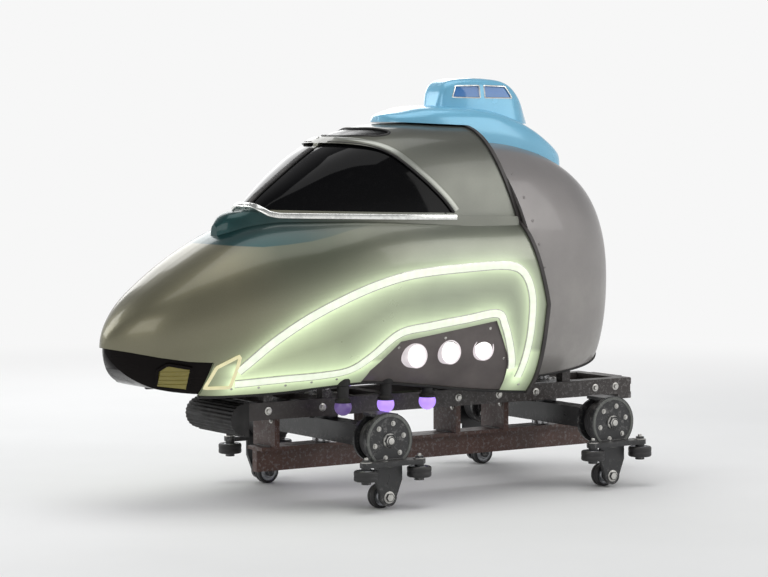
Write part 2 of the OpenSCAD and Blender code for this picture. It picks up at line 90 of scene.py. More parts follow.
# height, half width: fractions of the station's own
SIDES = {
    "hood": [
        [0, 0.72], [0.05, 0.79], [0.12, 0.86], [0.22, 0.94], [0.34, 0.99], [0.47, 1],
        [0.6, 0.975], [0.71, 0.92], [0.8, 0.84], [0.87, 0.74], [0.92, 0.63],
        [0.96, 0.48], [0.985, 0.32], [0.996, 0.17], [1, 0]],
    "deck": [
        [0, 0.7], [0.07, 0.79], [0.16, 0.865], [0.28, 0.925], [0.4, 0.965], [0.55, 1],
        [0.7, 1.005], [0.79, 0.99], [0.86, 0.96], [0.915, 0.915], [0.955, 0.86],
        [0.985, 0.79], [1, 0.7], [1, 0.35], [1, 0]],
    "canopy": [
        [0, 1], [0.12, 0.99], [0.25, 0.972], [0.38, 0.943], [0.5, 0.907],
        [0.62, 0.858], [0.73, 0.797], [0.82, 0.722], [0.89, 0.628], [0.94, 0.51],
        [0.975, 0.36], [0.994, 0.19], [1, 0]],
    "cap": [
        [0, 0.74], [0.05, 0.81], [0.13, 0.88], [0.24, 0.945], [0.36, 0.985], [0.48, 1],
        [0.6, 0.99], [0.71, 0.95], [0.8, 0.88], [0.87, 0.79], [0.925, 0.67],
        [0.965, 0.51], [0.99, 0.3], [1, 0]],
    "crown": [
        [0, 1.12], [0.3, 1.06], [0.6, 0.99], [0.8, 0.93], [0.92, 0.84], [0.98, 0.7],
        [1, 0.5], [1, 0]],
    "brim": [
        [0, 1], [0.55, 1], [0.75, 0.985], [0.88, 0.93], [0.95, 0.82], [0.985, 0.62],
        [1, 0.3], [1, 0]]}
WINDOW_ARC = [[-46, WINDOW_Z - 1], [-34, 849], [-18, 869], [4, 893], [30, 920], [58, 947],
              [87, 975], [115, 999], [144, 1015], [175, 1025], [211, 1031], [240, 1034]]
ROOF_WINDOW = [[181, 8], [178, 40], [166, 76], [146, 112], [120, 142], [88, 150], [74, 136],
               [82, 104], [94, 66], [104, 30], [107, 8]]
CHIN = [[728, 300], [704, 430], [768, 434], [840, 446], [900, 459], [980, 474], [980, 300]]
HEADLAMP = [[758, 350], [761, 414], [820, 426], [842, 408], [836, 360]]
RECESS = [[238, 260], [238, 352], [226, 388], [150, 470], [-166, 518], [-230, 402],
          [-244, 300], [-244, 260]]
UPPER_STRIP = [[652, 384], [608, 428], [545, 484], [450, 546], [337, 600], [225, 640],
               [110, 664], [-60, 676], [-196, 678], [-254, 654], [-284, 590], [-292, 500],
               [-290, 420], [-282, 345]]
LOWER_STRIP = [[652, 366], [500, 376], [380, 382], [296, 394], [236, 432], [160, 494],
               [60, 512], [-60, 528], [-164, 540], [-196, 504], [-236, 414], [-247, 374]]
CORNER = [[716, 358], [697, 416], [636, 449], [646, 358]]
FRONT_PANE = [[-204, 1168], [-216, 1202], [-292, 1204], [-292, 1167]]
REAR_PANE = [[-308, 1167], [-308, 1204], [-384, 1202], [-406, 1167]]
PANE_DEPTH = 40
WINDOW_FRONT, CORNER_END, LENS_END = 262, 641, 833
LAMP_X, LAMP_Z, LAMP_Y = [100, -18, -136], [427, 432, 437], 322
GLOW_X, GLOW_Y, GLOW_Z, GLOW_R = [0, 146, 292], 226, 284, 25


# curves and sections
def spline(rows, steps):
    """A smooth curve through the rows, with `steps` points to a row."""
    r = np.asarray(rows, float)
    n = len(r)
    out = []
    for i in range(n - 1):
        a, b, c, d = r[max(i - 1, 0)], r[i], r[i + 1], r[min(i + 2, n - 1)]
        for j in range(steps):
            t = j / steps
            out.append(0.5 * (2 * b + (c - a) * t + (2 * a - 5 * b + 4 * c - d) * t * t
                              + (3 * b - a - 3 * c + d) * t ** 3))
    return np.array(out + [r[-1]])


def even(path, gap, closed=False):
    """The path's points again, an even distance apart."""
    p = np.asarray(path, float)
    if closed:
        p = np.vstack([p, p[:1]])
    d = np.concatenate([[0], np.cumsum(np.linalg.norm(np.diff(p, axis=0), axis=1))])
    n = max(int(round(d[-1] / gap)), 3)
    t = np.linspace(0, d[-1], n + 1)
    q = np.stack([np.interp(t, d, p[:, k]) for k in range(p.shape[1])], 1)
    return q[:-1] if closed else q


FINE = {kind: spline(rows, 24) for kind, rows in ROWS.items()}
SIDES = {kind: spline(side, 5) for kind, side in SIDES.items()}
for side in SIDES.values():
    side[:, 0] = np.minimum(side[:, 0], 1)


def shape_at(kind, row, g=0.0, flat=False):
    """x, top, bottom, half width and outline of one station, grown outwards by g."""
    x, top = row[0], row[1] + g
    if kind == "body":
        side = (1 - row[4]) * SIDES["hood"] + row[4] * SIDES["deck"]
        return (x + g * max(0, (x - NOSE_FROM) / NOSE_LENGTH), top, row[2] - (0 if flat else g),
                max(row[3] + g, 3), side)
    if kind == "canopy":
        return (x + g * max(0, x / CANOPY_TIP), top, min(CANOPY_BASE, row[1] - 50),
                max(row[2] + g, 3), SIDES["canopy"])
    if kind == "cap":
        return (x - g * max(0, (CAP_FROM - x) / CAP_LENGTH), top, row[2] - (0 if flat else g),
                max(row[3] + g, 3), SIDES["cap"])
    if kind == "crown":
        return x, top, CROWN_BASE, row[2] + g, SIDES["crown"]
    return x, row[1], BRIM_BASE, row[2], SIDES["brim"]


def ring(x, top, low, half, side, down=0):
    """A closed section across a shell; `down` carries its feet further down."""
    up = [(x, -half * w, low + (top - low) * h) for h, w in side]
    if down:
        up.insert(0, (x, up[0][1], low - down))
    return np.array(up + [(x, -y, z) for x, y, z in up[-2::-1]])


def loft(rings):
    """A closed mesh over the rings, with a fan at either end."""
    n, m = len(rings[0]), len(rings)
    verts = np.vstack(rings + [rings[0].mean(0)[None], rings[-1].mean(0)[None]])
    faces = []
    for i in range(m - 1):
        for j in range(n):
            k = (j + 1) % n
            faces.append(((i + 1) * n + k, (i + 1) * n + j, i * n + j, i * n + k))
    faces += [(m * n, (j + 1) % n, j) for j in range(n)]
    faces += [(m * n + 1, (m - 1) * n + j, (m - 1) * n + (j + 1) % n) for j in range(n)]
    return verts, faces


def form(kind, g=0.0, down=0, steps=7):
    """One of the moulded forms as a solid, grown outwards by g, its feet carried down."""
    rows = spline(ROWS[kind], steps)
    return loft([ring(*shape_at(kind, r, g, down > 0), down) for r in rows])


def station(kind, x, g=0.0):
    """Heights and half widths of a moulded surface's section at x."""
    rows = FINE[kind]
    order = np.argsort(rows[:, 0])
    if kind == "canopy" and x > 0:
        x /= 1 + g / CANOPY_TIP
    row = [x] + [np.interp(x, rows[order, 0], rows[order, c]) for c in range(1, rows.shape[1])]
    _, top, low, half, side = shape_at(kind, row, g)
    return low + (top - low) * side[:, 0], half * side[:, 1]


def y_on(kind, x, z, g=0.0):
    """Half width of a moulded surface at x and height z."""
    h, w = station(kind, x, g)
    return float(np.interp(z, h, w))


def z_on(kind, x, y):
    """Height of the upper side of a moulded surface over x and y."""
    h, w = station(kind, x)
    top = int(np.argmax(w))
    return float(np.interp(-abs(y), -w[top:], h[top:]))


def side_frame(kind, x, z, g=0.0, e=3.0):
    """A point on the left side and the surface's normal there."""
    y = y_on(kind, x, z, g)
    fx = (y_on(kind, x + e, z, g) - y_on(kind, x - e, z, g)) / (2 * e)
    fz = (y_on(kind, x, z + e, g) - y_on(kind, x, z - e, g)) / (2 * e)
    n = np.array([-fx, 1, -fz])
    return np.array([x, y, z]), n / np.linalg.norm(n)


def top_frame(kind, x, y, e=3.0):
    """A point on the upper side and the surface's normal there."""
    fx = (z_on(kind, x + e, y) - z_on(kind, x - e, y)) / (2 * e)
    fy = (z_on(kind, x, y + e) - z_on(kind, x, y - e)) / (2 * e)
    n = np.array([-fx, -fy, 1])
    return np.array([x, y, z_on(kind, x, y)]), n / np.linalg.norm(n)


# solids as points and faces
def prism(outline, y0, y1):
    """An X-Z outline carried from y0 to y1."""
    p = np.asarray(outline, float)
    area = sum(p[i - 1][0] * p[i][1] - p[i][0] * p[i - 1][1] for i in range(len(p)))
    if area < 0:
        p = p[::-1]
    n = len(p)
    verts = [(x, y0, z) for x, z in p] + [(x, y1, z) for x, z in p]
    faces = [tuple(range(n)), tuple(range(2 * n - 1, n - 1, -1))]
    faces += [((i + 1) % n, i, n + i, n + (i + 1) % n) for i in range(n)]
    return np.array(verts, float), faces


def upright(outline, z0, z1):
    """An X-Y outline carried from z0 to z1."""
    v, f = prism(outline, z0, z1)
    return v[:, [0, 2, 1]], [c[::-1] for c in f]


def join(*solids):
    verts, faces, n = [], [], 0
    for v, f in solids:
        verts.append(v)
        faces += [tuple(i + n for i in c) for c in f]
        n += len(v)
    return np.vstack(verts), faces


def mirrored(solid):
    v, f = solid
    return v * FLIP, [c[::-1] for c in f]


def both(solid):
    return join(solid, mirrored(solid))


def moved(solid, by):
    return solid[0] + np.asarray(by, float), solid[1]


def across(outline, inner=0.0):
    """An X-Z outline carried across the car, or out from `inner` to either side."""
    a = prism(outline, inner, 500)
    return join(a, mirrored(a)) if inner else prism(outline, -500, 500)


def behind_seam(d=0.0):
    """All that lies behind the raked seam, moved back by d."""
    x, bottom, top, back = SEAM_X - d, 200, 1200, -1150
    return across([[x, bottom], [x, SEAM_KNEE], [x + (top - SEAM_KNEE) * SEAM_RAKE, top],
                   [back, top], [back, bottom]])


def box(x0, x1, y0, y1, z0, z1):
    return prism([[x0, z0], [x1, z0], [x1, z1], [x0, z1]], y0, y1)


def axes_for(axis):
    a = np.asarray(axis, float) / np.linalg.norm(axis)
    u = np.cross(a, [0, 0, 1.0] if abs(a[2]) < 0.9 else [1.0, 0, 0])
    u /= np.linalg.norm(u)
    return a, u, np.cross(a, u)


def lathe(profile, at, axis, seg):
    """A profile of (radius, height) turned about an axis through `at`. Open ends are closed."""
    a, u, w = axes_for(axis)
    prof = [tuple(p) for p in profile]
    if prof[0][0] > 1e-6 and prof[-1][0] <= 1e-6:
        prof = [(0, prof[0][1])] + prof
    verts, rows = [], []
    for r, h in prof:
        if r < 1e-6:
            rows.append([len(verts)] * seg)
            verts.append(np.asarray(at) + a * h)
        else:
            rows.append(list(range(len(verts), len(verts) + seg)))
            for k in range(seg):
                t = 2 * math.pi * k / seg
                verts.append(np.asarray(at) + a * h + r * (math.cos(t) * u + math.sin(t) * w))
    if prof[0][0] > 1e-6:
        rows.append(rows[0])
    faces = []
    for p, q in zip(rows, rows[1:]):
        for k in range(seg):
            c = [p[k], p[(k + 1) % seg], q[(k + 1) % seg], q[k]]
            c = [v for i, v in enumerate(c) if v not in c[:i]]
            if len(c) > 2:
                faces.append(tuple(c))
    return np.array(verts), faces


def sweep(path, normals, section, closed=False):
    """A section of (across, out) points carried along a path on a surface."""
    p, nrm = np.asarray(path, float), np.asarray(normals, float)
    t = np.gradient(p, axis=0)
    if closed:
        t = np.roll(p, -1, 0) - np.roll(p, 1, 0)
    t /= np.linalg.norm(t, axis=1)[:, None]
    nrm = nrm - (nrm * t).sum(1)[:, None] * t
    nrm /= np.linalg.norm(nrm, axis=1)[:, None]
    b = np.cross(nrm, t)
    n, m = len(section), len(p)
    verts = np.vstack([p[i] + np.array([s[0] * b[i] + s[1] * nrm[i] for s in section])
                       for i in range(m)])
    faces = []
    for i in range(m if closed else m - 1):
        q = (i + 1) % m
        for j in range(n):
            k = (j + 1) % n
            faces.append((i * n + j, q * n + j, q * n + k, i * n + k))
    if not closed:
        faces.append(tuple(range(n)))
        faces.append(tuple(m * n - 1 - j for j in range(n)))
    return verts, faces


def disc_section(r, sides=10, flat=1.0):
    return [(r * math.cos(2 * math.pi * k / sides), r * flat * math.sin(2 * math.pi * k / sides))
            for k in range(sides)]


def bar_section(width, low, high, edge=1.5, crown=0.0):
    """Cross-section of a strip: width, underside, top, edge radius and a crown on top."""
    h = width / 2
    mid = [(x, high + crown * (1 - (x / h) ** 2)) for x in np.linspace(-h + edge, h - edge, 7)]
    return [(h, low), (h, high - edge), (h - edge * 0.3, high - edge * 0.3)] + mid[::-1] + \
           [(-h + edge * 0.3, high - edge * 0.3), (-h, high - edge), (-h, low)]


# Blender objects
def mesh_of(name, solid):
    v, f = solid
    me = bpy.data.meshes.new(name)
    me.from_pydata((np.asarray(v) * MM).tolist(), [], f)
    me.update()
    return me


def add_object(name, data):
    ob = bpy.data.objects.new(name, data)
    bpy.context.collection.objects.link(ob)
    return ob


def boolean(start, *steps):
    """Carries (operation, solid) steps out on the first solid and gives the result."""
    made = [add_object("work", mesh_of("work", start))]
    for kind, solid in steps:
        made.append(add_object("tool", mesh_of("tool", solid)))
        mod = made[0].modifiers.new(kind, "BOOLEAN")
        mod.operation, mod.solver, mod.object = kind, "MANIFOLD", made[-1]
    deps = bpy.context.evaluated_depsgraph_get()
    me = bpy.data.meshes.new_from_object(made[0].evaluated_get(deps))
    v = np.empty(len(me.vertices) * 3)
    me.vertices.foreach_get("co", v)
    result = v.reshape(-1, 3) / MM, [tuple(p.vertices) for p in me.polygons]
    bpy.data.meshes.remove(me)
    for ob in made:
        old = ob.data
        bpy.data.objects.remove(ob)
        bpy.data.meshes.remove(old)
    return result


def weld(me):
    """Welds doubled points, drops needle faces and turns every face outwards."""
    bm = bmesh.new()
    bm.from_mesh(me)
    bmesh.ops.remove_doubles(bm, verts=bm.verts, dist=1e-5)
    bmesh.ops.dissolve_degenerate(bm, dist=1e-5, edges=bm.edges)
    bmesh.ops.recalc_face_normals(bm, faces=bm.faces)
    bm.to_mesh(me)
    bm.free()


def place(name, slot, look, solid, *replaces, body="chassis", angle=32):
    """Makes a finished piece: mesh, smooth shading, material, body and replaced nodes; `slot` is
    not used.
    """
    me = mesh_of(name, solid)
    ob = add_object(name, me)
    weld(me)
    for mat in look if isinstance(look, list) else [look]:
        me.materials.append(mat)
    me.polygons.foreach_set("use_smooth", [True] * len(me.polygons))
    me.set_sharp_from_angle(angle=math.radians(angle))
    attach(ob, body)
    if replaces:
        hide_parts(*replaces)
    return ob


# materials
def feed(nt, socket, value):
    """Gives a socket another node's output, a number or a colour."""
    if hasattr(value, "links"):
        nt.links.new(value, socket)
    else:
        socket.default_value = (*value, 1) if socket.type == "RGBA" else value


def add_node(nt, kind, *ordered, **values):
    """A new shader node, its inputs given in order or by name and its settings by name."""
    n = nt.nodes.new("ShaderNode" + kind)
    for key, value in values.items():
        if key in n.inputs.keys():
            feed(nt, n.inputs[key], value)
        else:
            setattr(n, key, value)
    for socket, value in zip(n.inputs, ordered):
        feed(nt, socket, value)
    return n


class Look:
    """A small helper that strings a material's shader nodes together."""

    def __init__(self, name):
        self.mat = bpy.data.materials.new(name)
        self.mat.use_nodes = True
        self.nt = self.mat.node_tree
        self.bsdf = self.nt.nodes["Principled BSDF"]
        self.coord = self.node("TexCoord").outputs["Object"]

    def node(self, kind, *ordered, **values):
        return add_node(self.nt, kind, *ordered, **values)

    def noise(self, scale, detail, rough=0.55, stretch=None):
        at = self.coord
        if stretch:
            at = self.node("Mapping", Vector=at, Scale=stretch).outputs["Vector"]
        return self.node("TexNoise", Vector=at, Scale=scale, Detail=detail,
                         Roughness=rough).outputs["Fac"]

    def remap(self, value, low, high, to_low, to_high):
        ends = {"From Min": low, "From Max": high, "To Min": to_low, "To Max": to_high}
        return self.node("MapRange", Value=value, **ends).outputs["Result"]

    def mix(self, fac, a, b):
        n = self.node("Mix", data_type="RGBA")
        for slot, value in ((0, fac), (6, a), (7, b)):
            feed(self.nt, n.inputs[slot], value)
        return n.outputs[2]

    def math(self, kind, a, b):
        return self.node("Math", a, b, operation=kind).outputs[0]

    def times(self, a, b):
        return self.math("MULTIPLY", a, b)

    def split(self, vector):
        return self.node("SeparateXYZ", vector).outputs

    def tones(self, color, dark, light, *noise):
        """A colour that wanders between a darker and a lighter shade of itself."""
        return self.mix(self.remap(self.noise(*noise), 0.3, 0.7, 0, 1), shade(color, dark),
                        shade(color, light))

    def curve(self, value, points):
        n = self.node("FloatCurve", Value=value)
        c = n.mapping.curves[0]
        for p in points[1:-1]:
            c.points.new(*p)
        c.points[0].location, c.points[-1].location = points[0], points[-1]
        for p in c.points:
            p.handle_type = "VECTOR"
        n.mapping.update()
        return n.outputs["Value"]

    def bump(self, height, distance, strength=1.0, after=None):
        under = {"Normal": after} if after else {}
        return self.node("Bump", Height=height, Distance=distance, Strength=strength,
                         **under).outputs["Normal"]

    def set(self, **values):
        names = {"rough": "Roughness", "metal": "Metallic", "coat": "Coat Weight",
                 "coat_rough": "Coat Roughness", "spec": "Specular IOR Level",
                 "normal": "Normal", "color": "Base Color", "glow": "Emission Color",
                 "power": "Emission Strength", "edge": "Specular Tint"}
        for key, value in values.items():
            feed(self.nt, self.bsdf.inputs[names[key]], value)
        return self.mat


def shade(c, k):
    return tuple(min(v * k, 1) for v in c)


# x and z, in metres, of the lower edge of the dark cowl and of the belt above it
COWL_EDGE = [(0, 0.840), (0.10, 0.828), (0.212, 0.803), (0.28, 0.790), (0.345, 0.773),
             (0.406, 0.759), (0.473, 0.750), (0.534, 0.744), (0.60, 0.747), (0.66, 0.752),
             (1, 0.76)]
COWL_TOP = [(0, 0.822), (0.37, 0.829), (0.43, 0.832), (0.457, 0.838), (0.474, 0.853),
            (0.479, 1), (1, 1)]
COWL_TEAL, COWL_GREY = (0.011, 0.054, 0.055), (0.045, 0.066, 0.060)
HOOD_PAINTED_SHADE = (0.052, 0.066, 0.045)


def with_cowl(k, base, at):
    """The dark teal cowl round the canopy's front foot, fading towards the rear, and painted
    shade: a dark reflection painted on the hood below the cowl's edge.
    """
    x, z = at["X"], at["Z"]
    over = k.math("SUBTRACT", z, k.curve(x, COWL_EDGE))
    above = k.remap(over, -0.0012, 0.0012, 0.0, 1.0)
    under = k.remap(k.math("SUBTRACT", k.curve(x, COWL_TOP), z), -0.0012, 0.0012, 0.0, 1.0)
    part = k.times(k.times(above, under), k.remap(x, 0.19, 0.42, 0.0, 1.0))
    tint = k.mix(k.remap(x, 0.34, 0.56, 0.0, 1.0), COWL_GREY, COWL_TEAL)
    # painted shade below the cowl's edge, standing for the dark surroundings the hood reflects
    painted_shade = k.times(k.remap(over, -0.17, 0.0, 0.0, 0.78), under)
    painted_shade = k.times(painted_shade, k.remap(x, 0.12, 0.36, 0.0, 1.0))
    painted_shade = k.times(painted_shade, k.remap(x, 0.50, 0.64, 1.0, 0.0))
    return k.mix(part, k.mix(painted_shade, base, HOOD_PAINTED_SHADE), tint)


def car_paint(name, color, metal, rough, flake=0.10, dust=(0.30, 0.28, 0.25), glow=False,
              nose=None, dusty=0.14, dust_and_light_top=0.50):
    """Sprayed metallic paint under a clear coat: flake, orange peel, haze and road dust; on the
    nose colour, painted shade on the upper hood, the roof and below the cowl; lighter low down,
    which on the rear cap is mostly painted light; with glow, the strips' light painted on as
    emission.
    """
    k = Look(name)
    at = k.split(k.coord)
    cloud = k.remap(k.noise(2.3, 4), 0.35, 0.65, 0.0, 1.0)
    base = k.mix(cloud, shade(color, 0.93), shade(color, 1.06))
    if nose:
        # painted shade: the upper hood and shoulder darker and the roof darker still, standing
        # for the dark surroundings they reflect
        base = k.mix(k.remap(at["Z"], 0.62, 0.78, 0.0, 0.5), base, shade(color, 0.6))
        base = k.mix(k.remap(at["Z"], 0.93, 1.03, 0.0, 0.7), base, shade(color, 0.38))
        base = k.mix(k.remap(at["X"], 0.05, 0.62, 0.0, 1.0), base, nose)
    spark = k.remap(k.noise(850, 1.5), 0.45, 0.75, 0.0, flake)
    base = k.mix(spark, base, shade(color, 1.9))
    if nose:
        base = with_cowl(k, base, at)
    # lighter towards the bottom: road dust, and on the rear cap mostly painted light from the
    # strips and the neighbouring cars
    low = k.remap(at["Z"], 0.30, dust_and_light_top, dusty, 0.0)
    patch = k.remap(k.noise(9, 5, 0.65), 0.42, 0.70, 0.15 + dusty / 2, 1.0)
    base = k.mix(k.times(low, patch), base, dust)
    scuff = k.remap(k.noise(38, 6, 0.7, (1, 3, 9)), 0.60, 0.74, 0.0, 1.0)
    rub = k.remap(k.noise(5, 5, 0.6), 0.3, 0.7, rough * 0.85, rough * 1.25)
    rub = k.math("ADD", rub, k.times(scuff, 0.05))
    peel = k.bump(k.noise(95, 2), 0.0004, 0.35)
    wave = k.bump(k.noise(7, 2), 0.0022, 0.30, peel)
    k.set(color=base, metal=metal, rough=rub, coat=0.45, coat_rough=0.10, normal=wave,
          edge=(0.6, 0.6, 0.6))
    if glow:
        # painted light: the body paint itself glows with the strips' light
        near = k.node("Attribute", attribute_name="strip_light").outputs["Fac"]
        soft = k.times(near, k.remap(cloud, 0, 1, 0.85, 1.1))
        k.set(glow=(0.82, 1.0, 0.62), power=k.times(soft, 0.80))
    return k.mat


def gloss(name, color, rough=0.08, coat=0.6, spec=0.5, bump=0.25, dust=0.05):
    """Hard glossy plastic or glazing with faint waves, fine dust and wiping marks."""
    k = Look(name)
    dusty = k.remap(k.noise(60, 6, 0.7), 0.52, 0.80, 0.0, dust)
    base = k.mix(dusty, k.tones(color, 0.85, 1.15, 3, 3), (0.32, 0.31, 0.29))
    wipe = k.remap(k.noise(13, 5, 0.65, (1, 1, 4)), 0.40, 0.75, rough * 0.8, rough * 1.9)
    wave = k.bump(k.noise(6, 2), 0.0015, bump)
    k.set(color=base, rough=wipe, coat=coat, coat_rough=0.03, spec=spec, normal=wave)
    return k.mat


def moulded(name, color, rough=0.55, grain=420, depth=0.0004, spec=0.4, dust=0.35):
    """Grained plastic or rubber, lighter and rougher where dust settles."""
    k = Look(name)
    g = k.node("NewGeometry").outputs
    lay = k.remap(k.split(g["Normal"])["Z"], 0.2, 1.0, 0.05, 1.0)
    patch = k.remap(k.noise(22, 6, 0.65), 0.40, 0.72, 0.0, dust)
    base = k.mix(k.times(lay, patch), k.tones(color, 0.8, 1.25, 11, 4), (0.26, 0.24, 0.21))
    rub = k.remap(k.noise(30, 5), 0.3, 0.7, rough * 0.85, min(rough * 1.2, 1))
    fine = k.bump(k.noise(grain, 2), depth, 0.6)
    k.set(color=base, rough=rub, spec=spec, normal=fine)
    return k.mat


def coated_metal(name, color, rough=0.38, wear=0.4, rust=0.12):
    """Painted steel: uneven film, chips to bare metal on edges, a little rust and dust."""
    k = Look(name)
    g = k.node("NewGeometry").outputs
    edge = k.remap(g["Pointiness"], 0.53, 0.62, 0.0, 1.0)
    chip = k.remap(k.noise(85, 6, 0.75), 0.52, 0.60, 0.0, 1.0)
    worn = k.times(k.times(edge, chip), wear)
    bloom = k.remap(k.noise(40, 7, 0.72), 0.60, 0.76, 0.0, rust)
    base = k.mix(bloom, k.tones(color, 0.85, 1.2, 9, 4, 0.6), (0.13, 0.060, 0.030))
    base = k.mix(worn, base, (0.30, 0.29, 0.28))
    lay = k.times(k.remap(k.split(g["Normal"])["Z"], 0.4, 1.0, 0.0, 0.16),
                  k.remap(k.noise(27, 6, 0.7), 0.35, 0.7, 0.3, 1.0))
    base = k.mix(lay, base, (0.24, 0.22, 0.20))
    rub = k.math("ADD", k.remap(k.noise(33, 5), 0.3, 0.7, rough * 0.85, rough * 1.25),
                 k.times(lay, 0.5))
    film = k.bump(k.noise(230, 3), 0.0004, 0.35)
    dents = k.bump(k.noise(17, 3), 0.0012, 0.2, film)
    k.set(color=base, rough=rub, coat=0.15, coat_rough=0.25, normal=dents)
    return k.mat


def machined(name, color, rough=0.25, metal=1.0):
    """Turned or plated metal: fine lines, stains and finger dullness."""
    k = Look(name)
    lines = k.noise(240, 2, 0.5, (1, 9, 1))
    stain = k.remap(k.noise(48, 6, 0.7), 0.45, 0.72, 0.0, 0.55)
    base = k.mix(stain, color, shade(color, 0.45))
    rub = k.math("ADD", k.remap(lines, 0.3, 0.7, rough * 0.8, rough * 1.3),
                 k.times(stain, 0.25))
    k.set(color=base, metal=metal, rough=rub, normal=k.bump(lines, 0.0002, 0.5))
    return k.mat


def lit(name, color, power, rib=0.0, rough=0.35):
    """A lit diffuser with LED spots showing faintly through it."""
    k = Look(name)
    spots = k.node("TexVoronoi", Vector=k.coord, Scale=38.0, Randomness=0.15)
    dots = k.remap(spots.outputs["Distance"], 0.0, 0.75, 1.08, 0.86)
    ribs = k.node("TexWave", Vector=k.coord, Scale=90.0, Distortion=0.0)
    k.set(color=shade(color, 0.3), glow=color, power=k.times(dots, power), rough=rough,
          coat=0.2, normal=k.bump(ribs.outputs["Fac"], 0.0005, rib))
    return k.mat


OLIVE = (0.174, 0.164, 0.106)
# both silver paints carry painted shade on the upper hood and the roof; the body's also carries
# the strips' painted glow
SILVER = car_paint("silver_paint", (0.235, 0.245, 0.205), 0.70, 0.32, glow=True, nose=OLIVE)
SILVER_TOP = car_paint("silver_paint_top", (0.235, 0.243, 0.209), 0.70, 0.40, nose=OLIVE)
SILVER_BRIGHT = car_paint("silver_arch_band", (0.33, 0.34, 0.305), 0.80, 0.30)
# rear cap: its lighter lower part is mostly painted light, with some dust
MAUVE = car_paint("mauve_paint", (0.255, 0.240, 0.236), 0.45, 0.40, 0.06,
                  (0.44, 0.42, 0.39), dusty=0.8, dust_and_light_top=0.86)
BLUE = car_paint("light_blue_paint", (0.205, 0.52, 0.73), 0.15, 0.24, 0.04)
INSIDE = moulded("raw_laminate", (0.20, 0.195, 0.17), 0.75, 160, 0.0010, 0.3, 0.2)
BLACK_GLASS = gloss("black_glass", (0.0026, 0.0026, 0.0030), 0.06, 0.0, 0.11, 0.12, 0.008)
ROOF_GLASS = gloss("black_roof_glass", (0.0026, 0.0026, 0.0030), 0.22, 0.0, 0.05, 0.12, 0.010)
BLACK_GLOSS = gloss("black_gloss_panel", (0.0060, 0.0045, 0.0042), 0.20, 0.0, 0.07, 0.25, 0.008)
BLUE_GLASS = gloss("blue_glazing", (0.055, 0.20, 0.50), 0.08, 0.5)
PANEL = moulded("lamp_panel_plastic", (0.118, 0.101, 0.097), 0.42, 300, 0.0003, 0.5, 0.2)
SEAM = moulded("seam_plastic", (0.052, 0.046, 0.045), 0.42, 300, 0.0003, 0.4, 0.2)
RUBBER = moulded("black_rubber", (0.018, 0.017, 0.017), 0.60, 380, 0.0004, 0.35, 0.25)
TREAD = moulded("wheel_tread", (0.026, 0.025, 0.026), 0.48, 260, 0.0005, 0.45, 0.30)
CHROME = machined("belt_trim", (0.86, 0.87, 0.84), 0.16)
ZINC = machined("zinc_plated", (0.62, 0.61, 0.58), 0.32)
STEEL = machined("turned_steel", (0.50, 0.50, 0.51), 0.24)
HUB = machined("cast_hub", (0.40, 0.41, 0.43), 0.36, 0.9)
CHASSIS = coated_metal("chassis_paint", (0.034, 0.027, 0.025), 0.42)
BEAM = coated_metal("beam_paint", (0.075, 0.034, 0.025), 0.46, rust=0.30)
TRUCK = coated_metal("truck_paint", (0.020, 0.020, 0.021), 0.32, 0.5)
# a real raised ring, painted lighter as a painted highlight for the lit edge of each carriage
# plate
RIM_PAINTED_HIGHLIGHT = coated_metal("plate_rim_painted_highlight", (0.115, 0.12, 0.11), 0.30, 0.6, rust=0.08)
WHITE_LIGHT = lit("strip_light", (0.93, 1.0, 0.82), 0.86)
WARM_LIGHT = lit("corner_strip_light", (1.0, 0.93, 0.56), 0.62)
LAMP_LIGHT = lit("lamp_light", (1.0, 0.97, 0.93), 1.5, 0.5)
VIOLET_LIGHT = lit("violet_light", (0.46, 0.28, 1.0), 1.25)
DIM_VIOLET = lit("dim_violet_light", (0.22, 0.14, 0.42), 0.45)
AMBER = gloss("headlamp_lens", (0.250, 0.212, 0.055), 0.20, 0.2, 0.3)
RING_LIGHT = lit("lamp_ring_light", (1.0, 0.92, 0.95), 0.62, 0.2)


# moulded shells
def near_surface(c):
    """Whether a point lies on the outer skin and not on the wall's inner face."""
    x, y, z = c.x / MM, abs(c.y) / MM, c.z / MM
    for kind, lo, hi in (("body", -352, 940), ("canopy", -352, 568), ("cap", -708, -200)):
        if lo <= x <= hi and abs(y_on(kind, x, z) - y) < 5:
            return True
    return False


def shell(name, slot, paint, solid, *nodes):
    """A moulded shell: paint outside and raw laminate on every face that looks inwards."""
    ob = place(name, slot, [paint, INSIDE], solid, *nodes, angle=28)
    for p in ob.data.polygons:
        c, n = p.center, p.normal
        inward = n.y * c.y + n.z * (c.z - 0.62) * 0.8 + n.x * (c.x - 0.1) * 0.25
        if inward < -0.004 * abs(c.y) - 0.002 and not near_surface(c):
            p.material_index = 1
    return ob


def beside(path, d):
    """A path of (x, z) points moved sideways by d."""
    p = np.asarray(path, float)
    t = np.gradient(p, axis=0)
    t /= np.linalg.norm(t, axis=1)[:, None]
    return p + np.stack([-t[:, 1], t[:, 0]], 1) * d


def band(path, width):
    """An outline of the given width along a path of (x, z) points."""
    return np.vstack([beside(path, width / 2), beside(path, -width / 2)[::-1]])


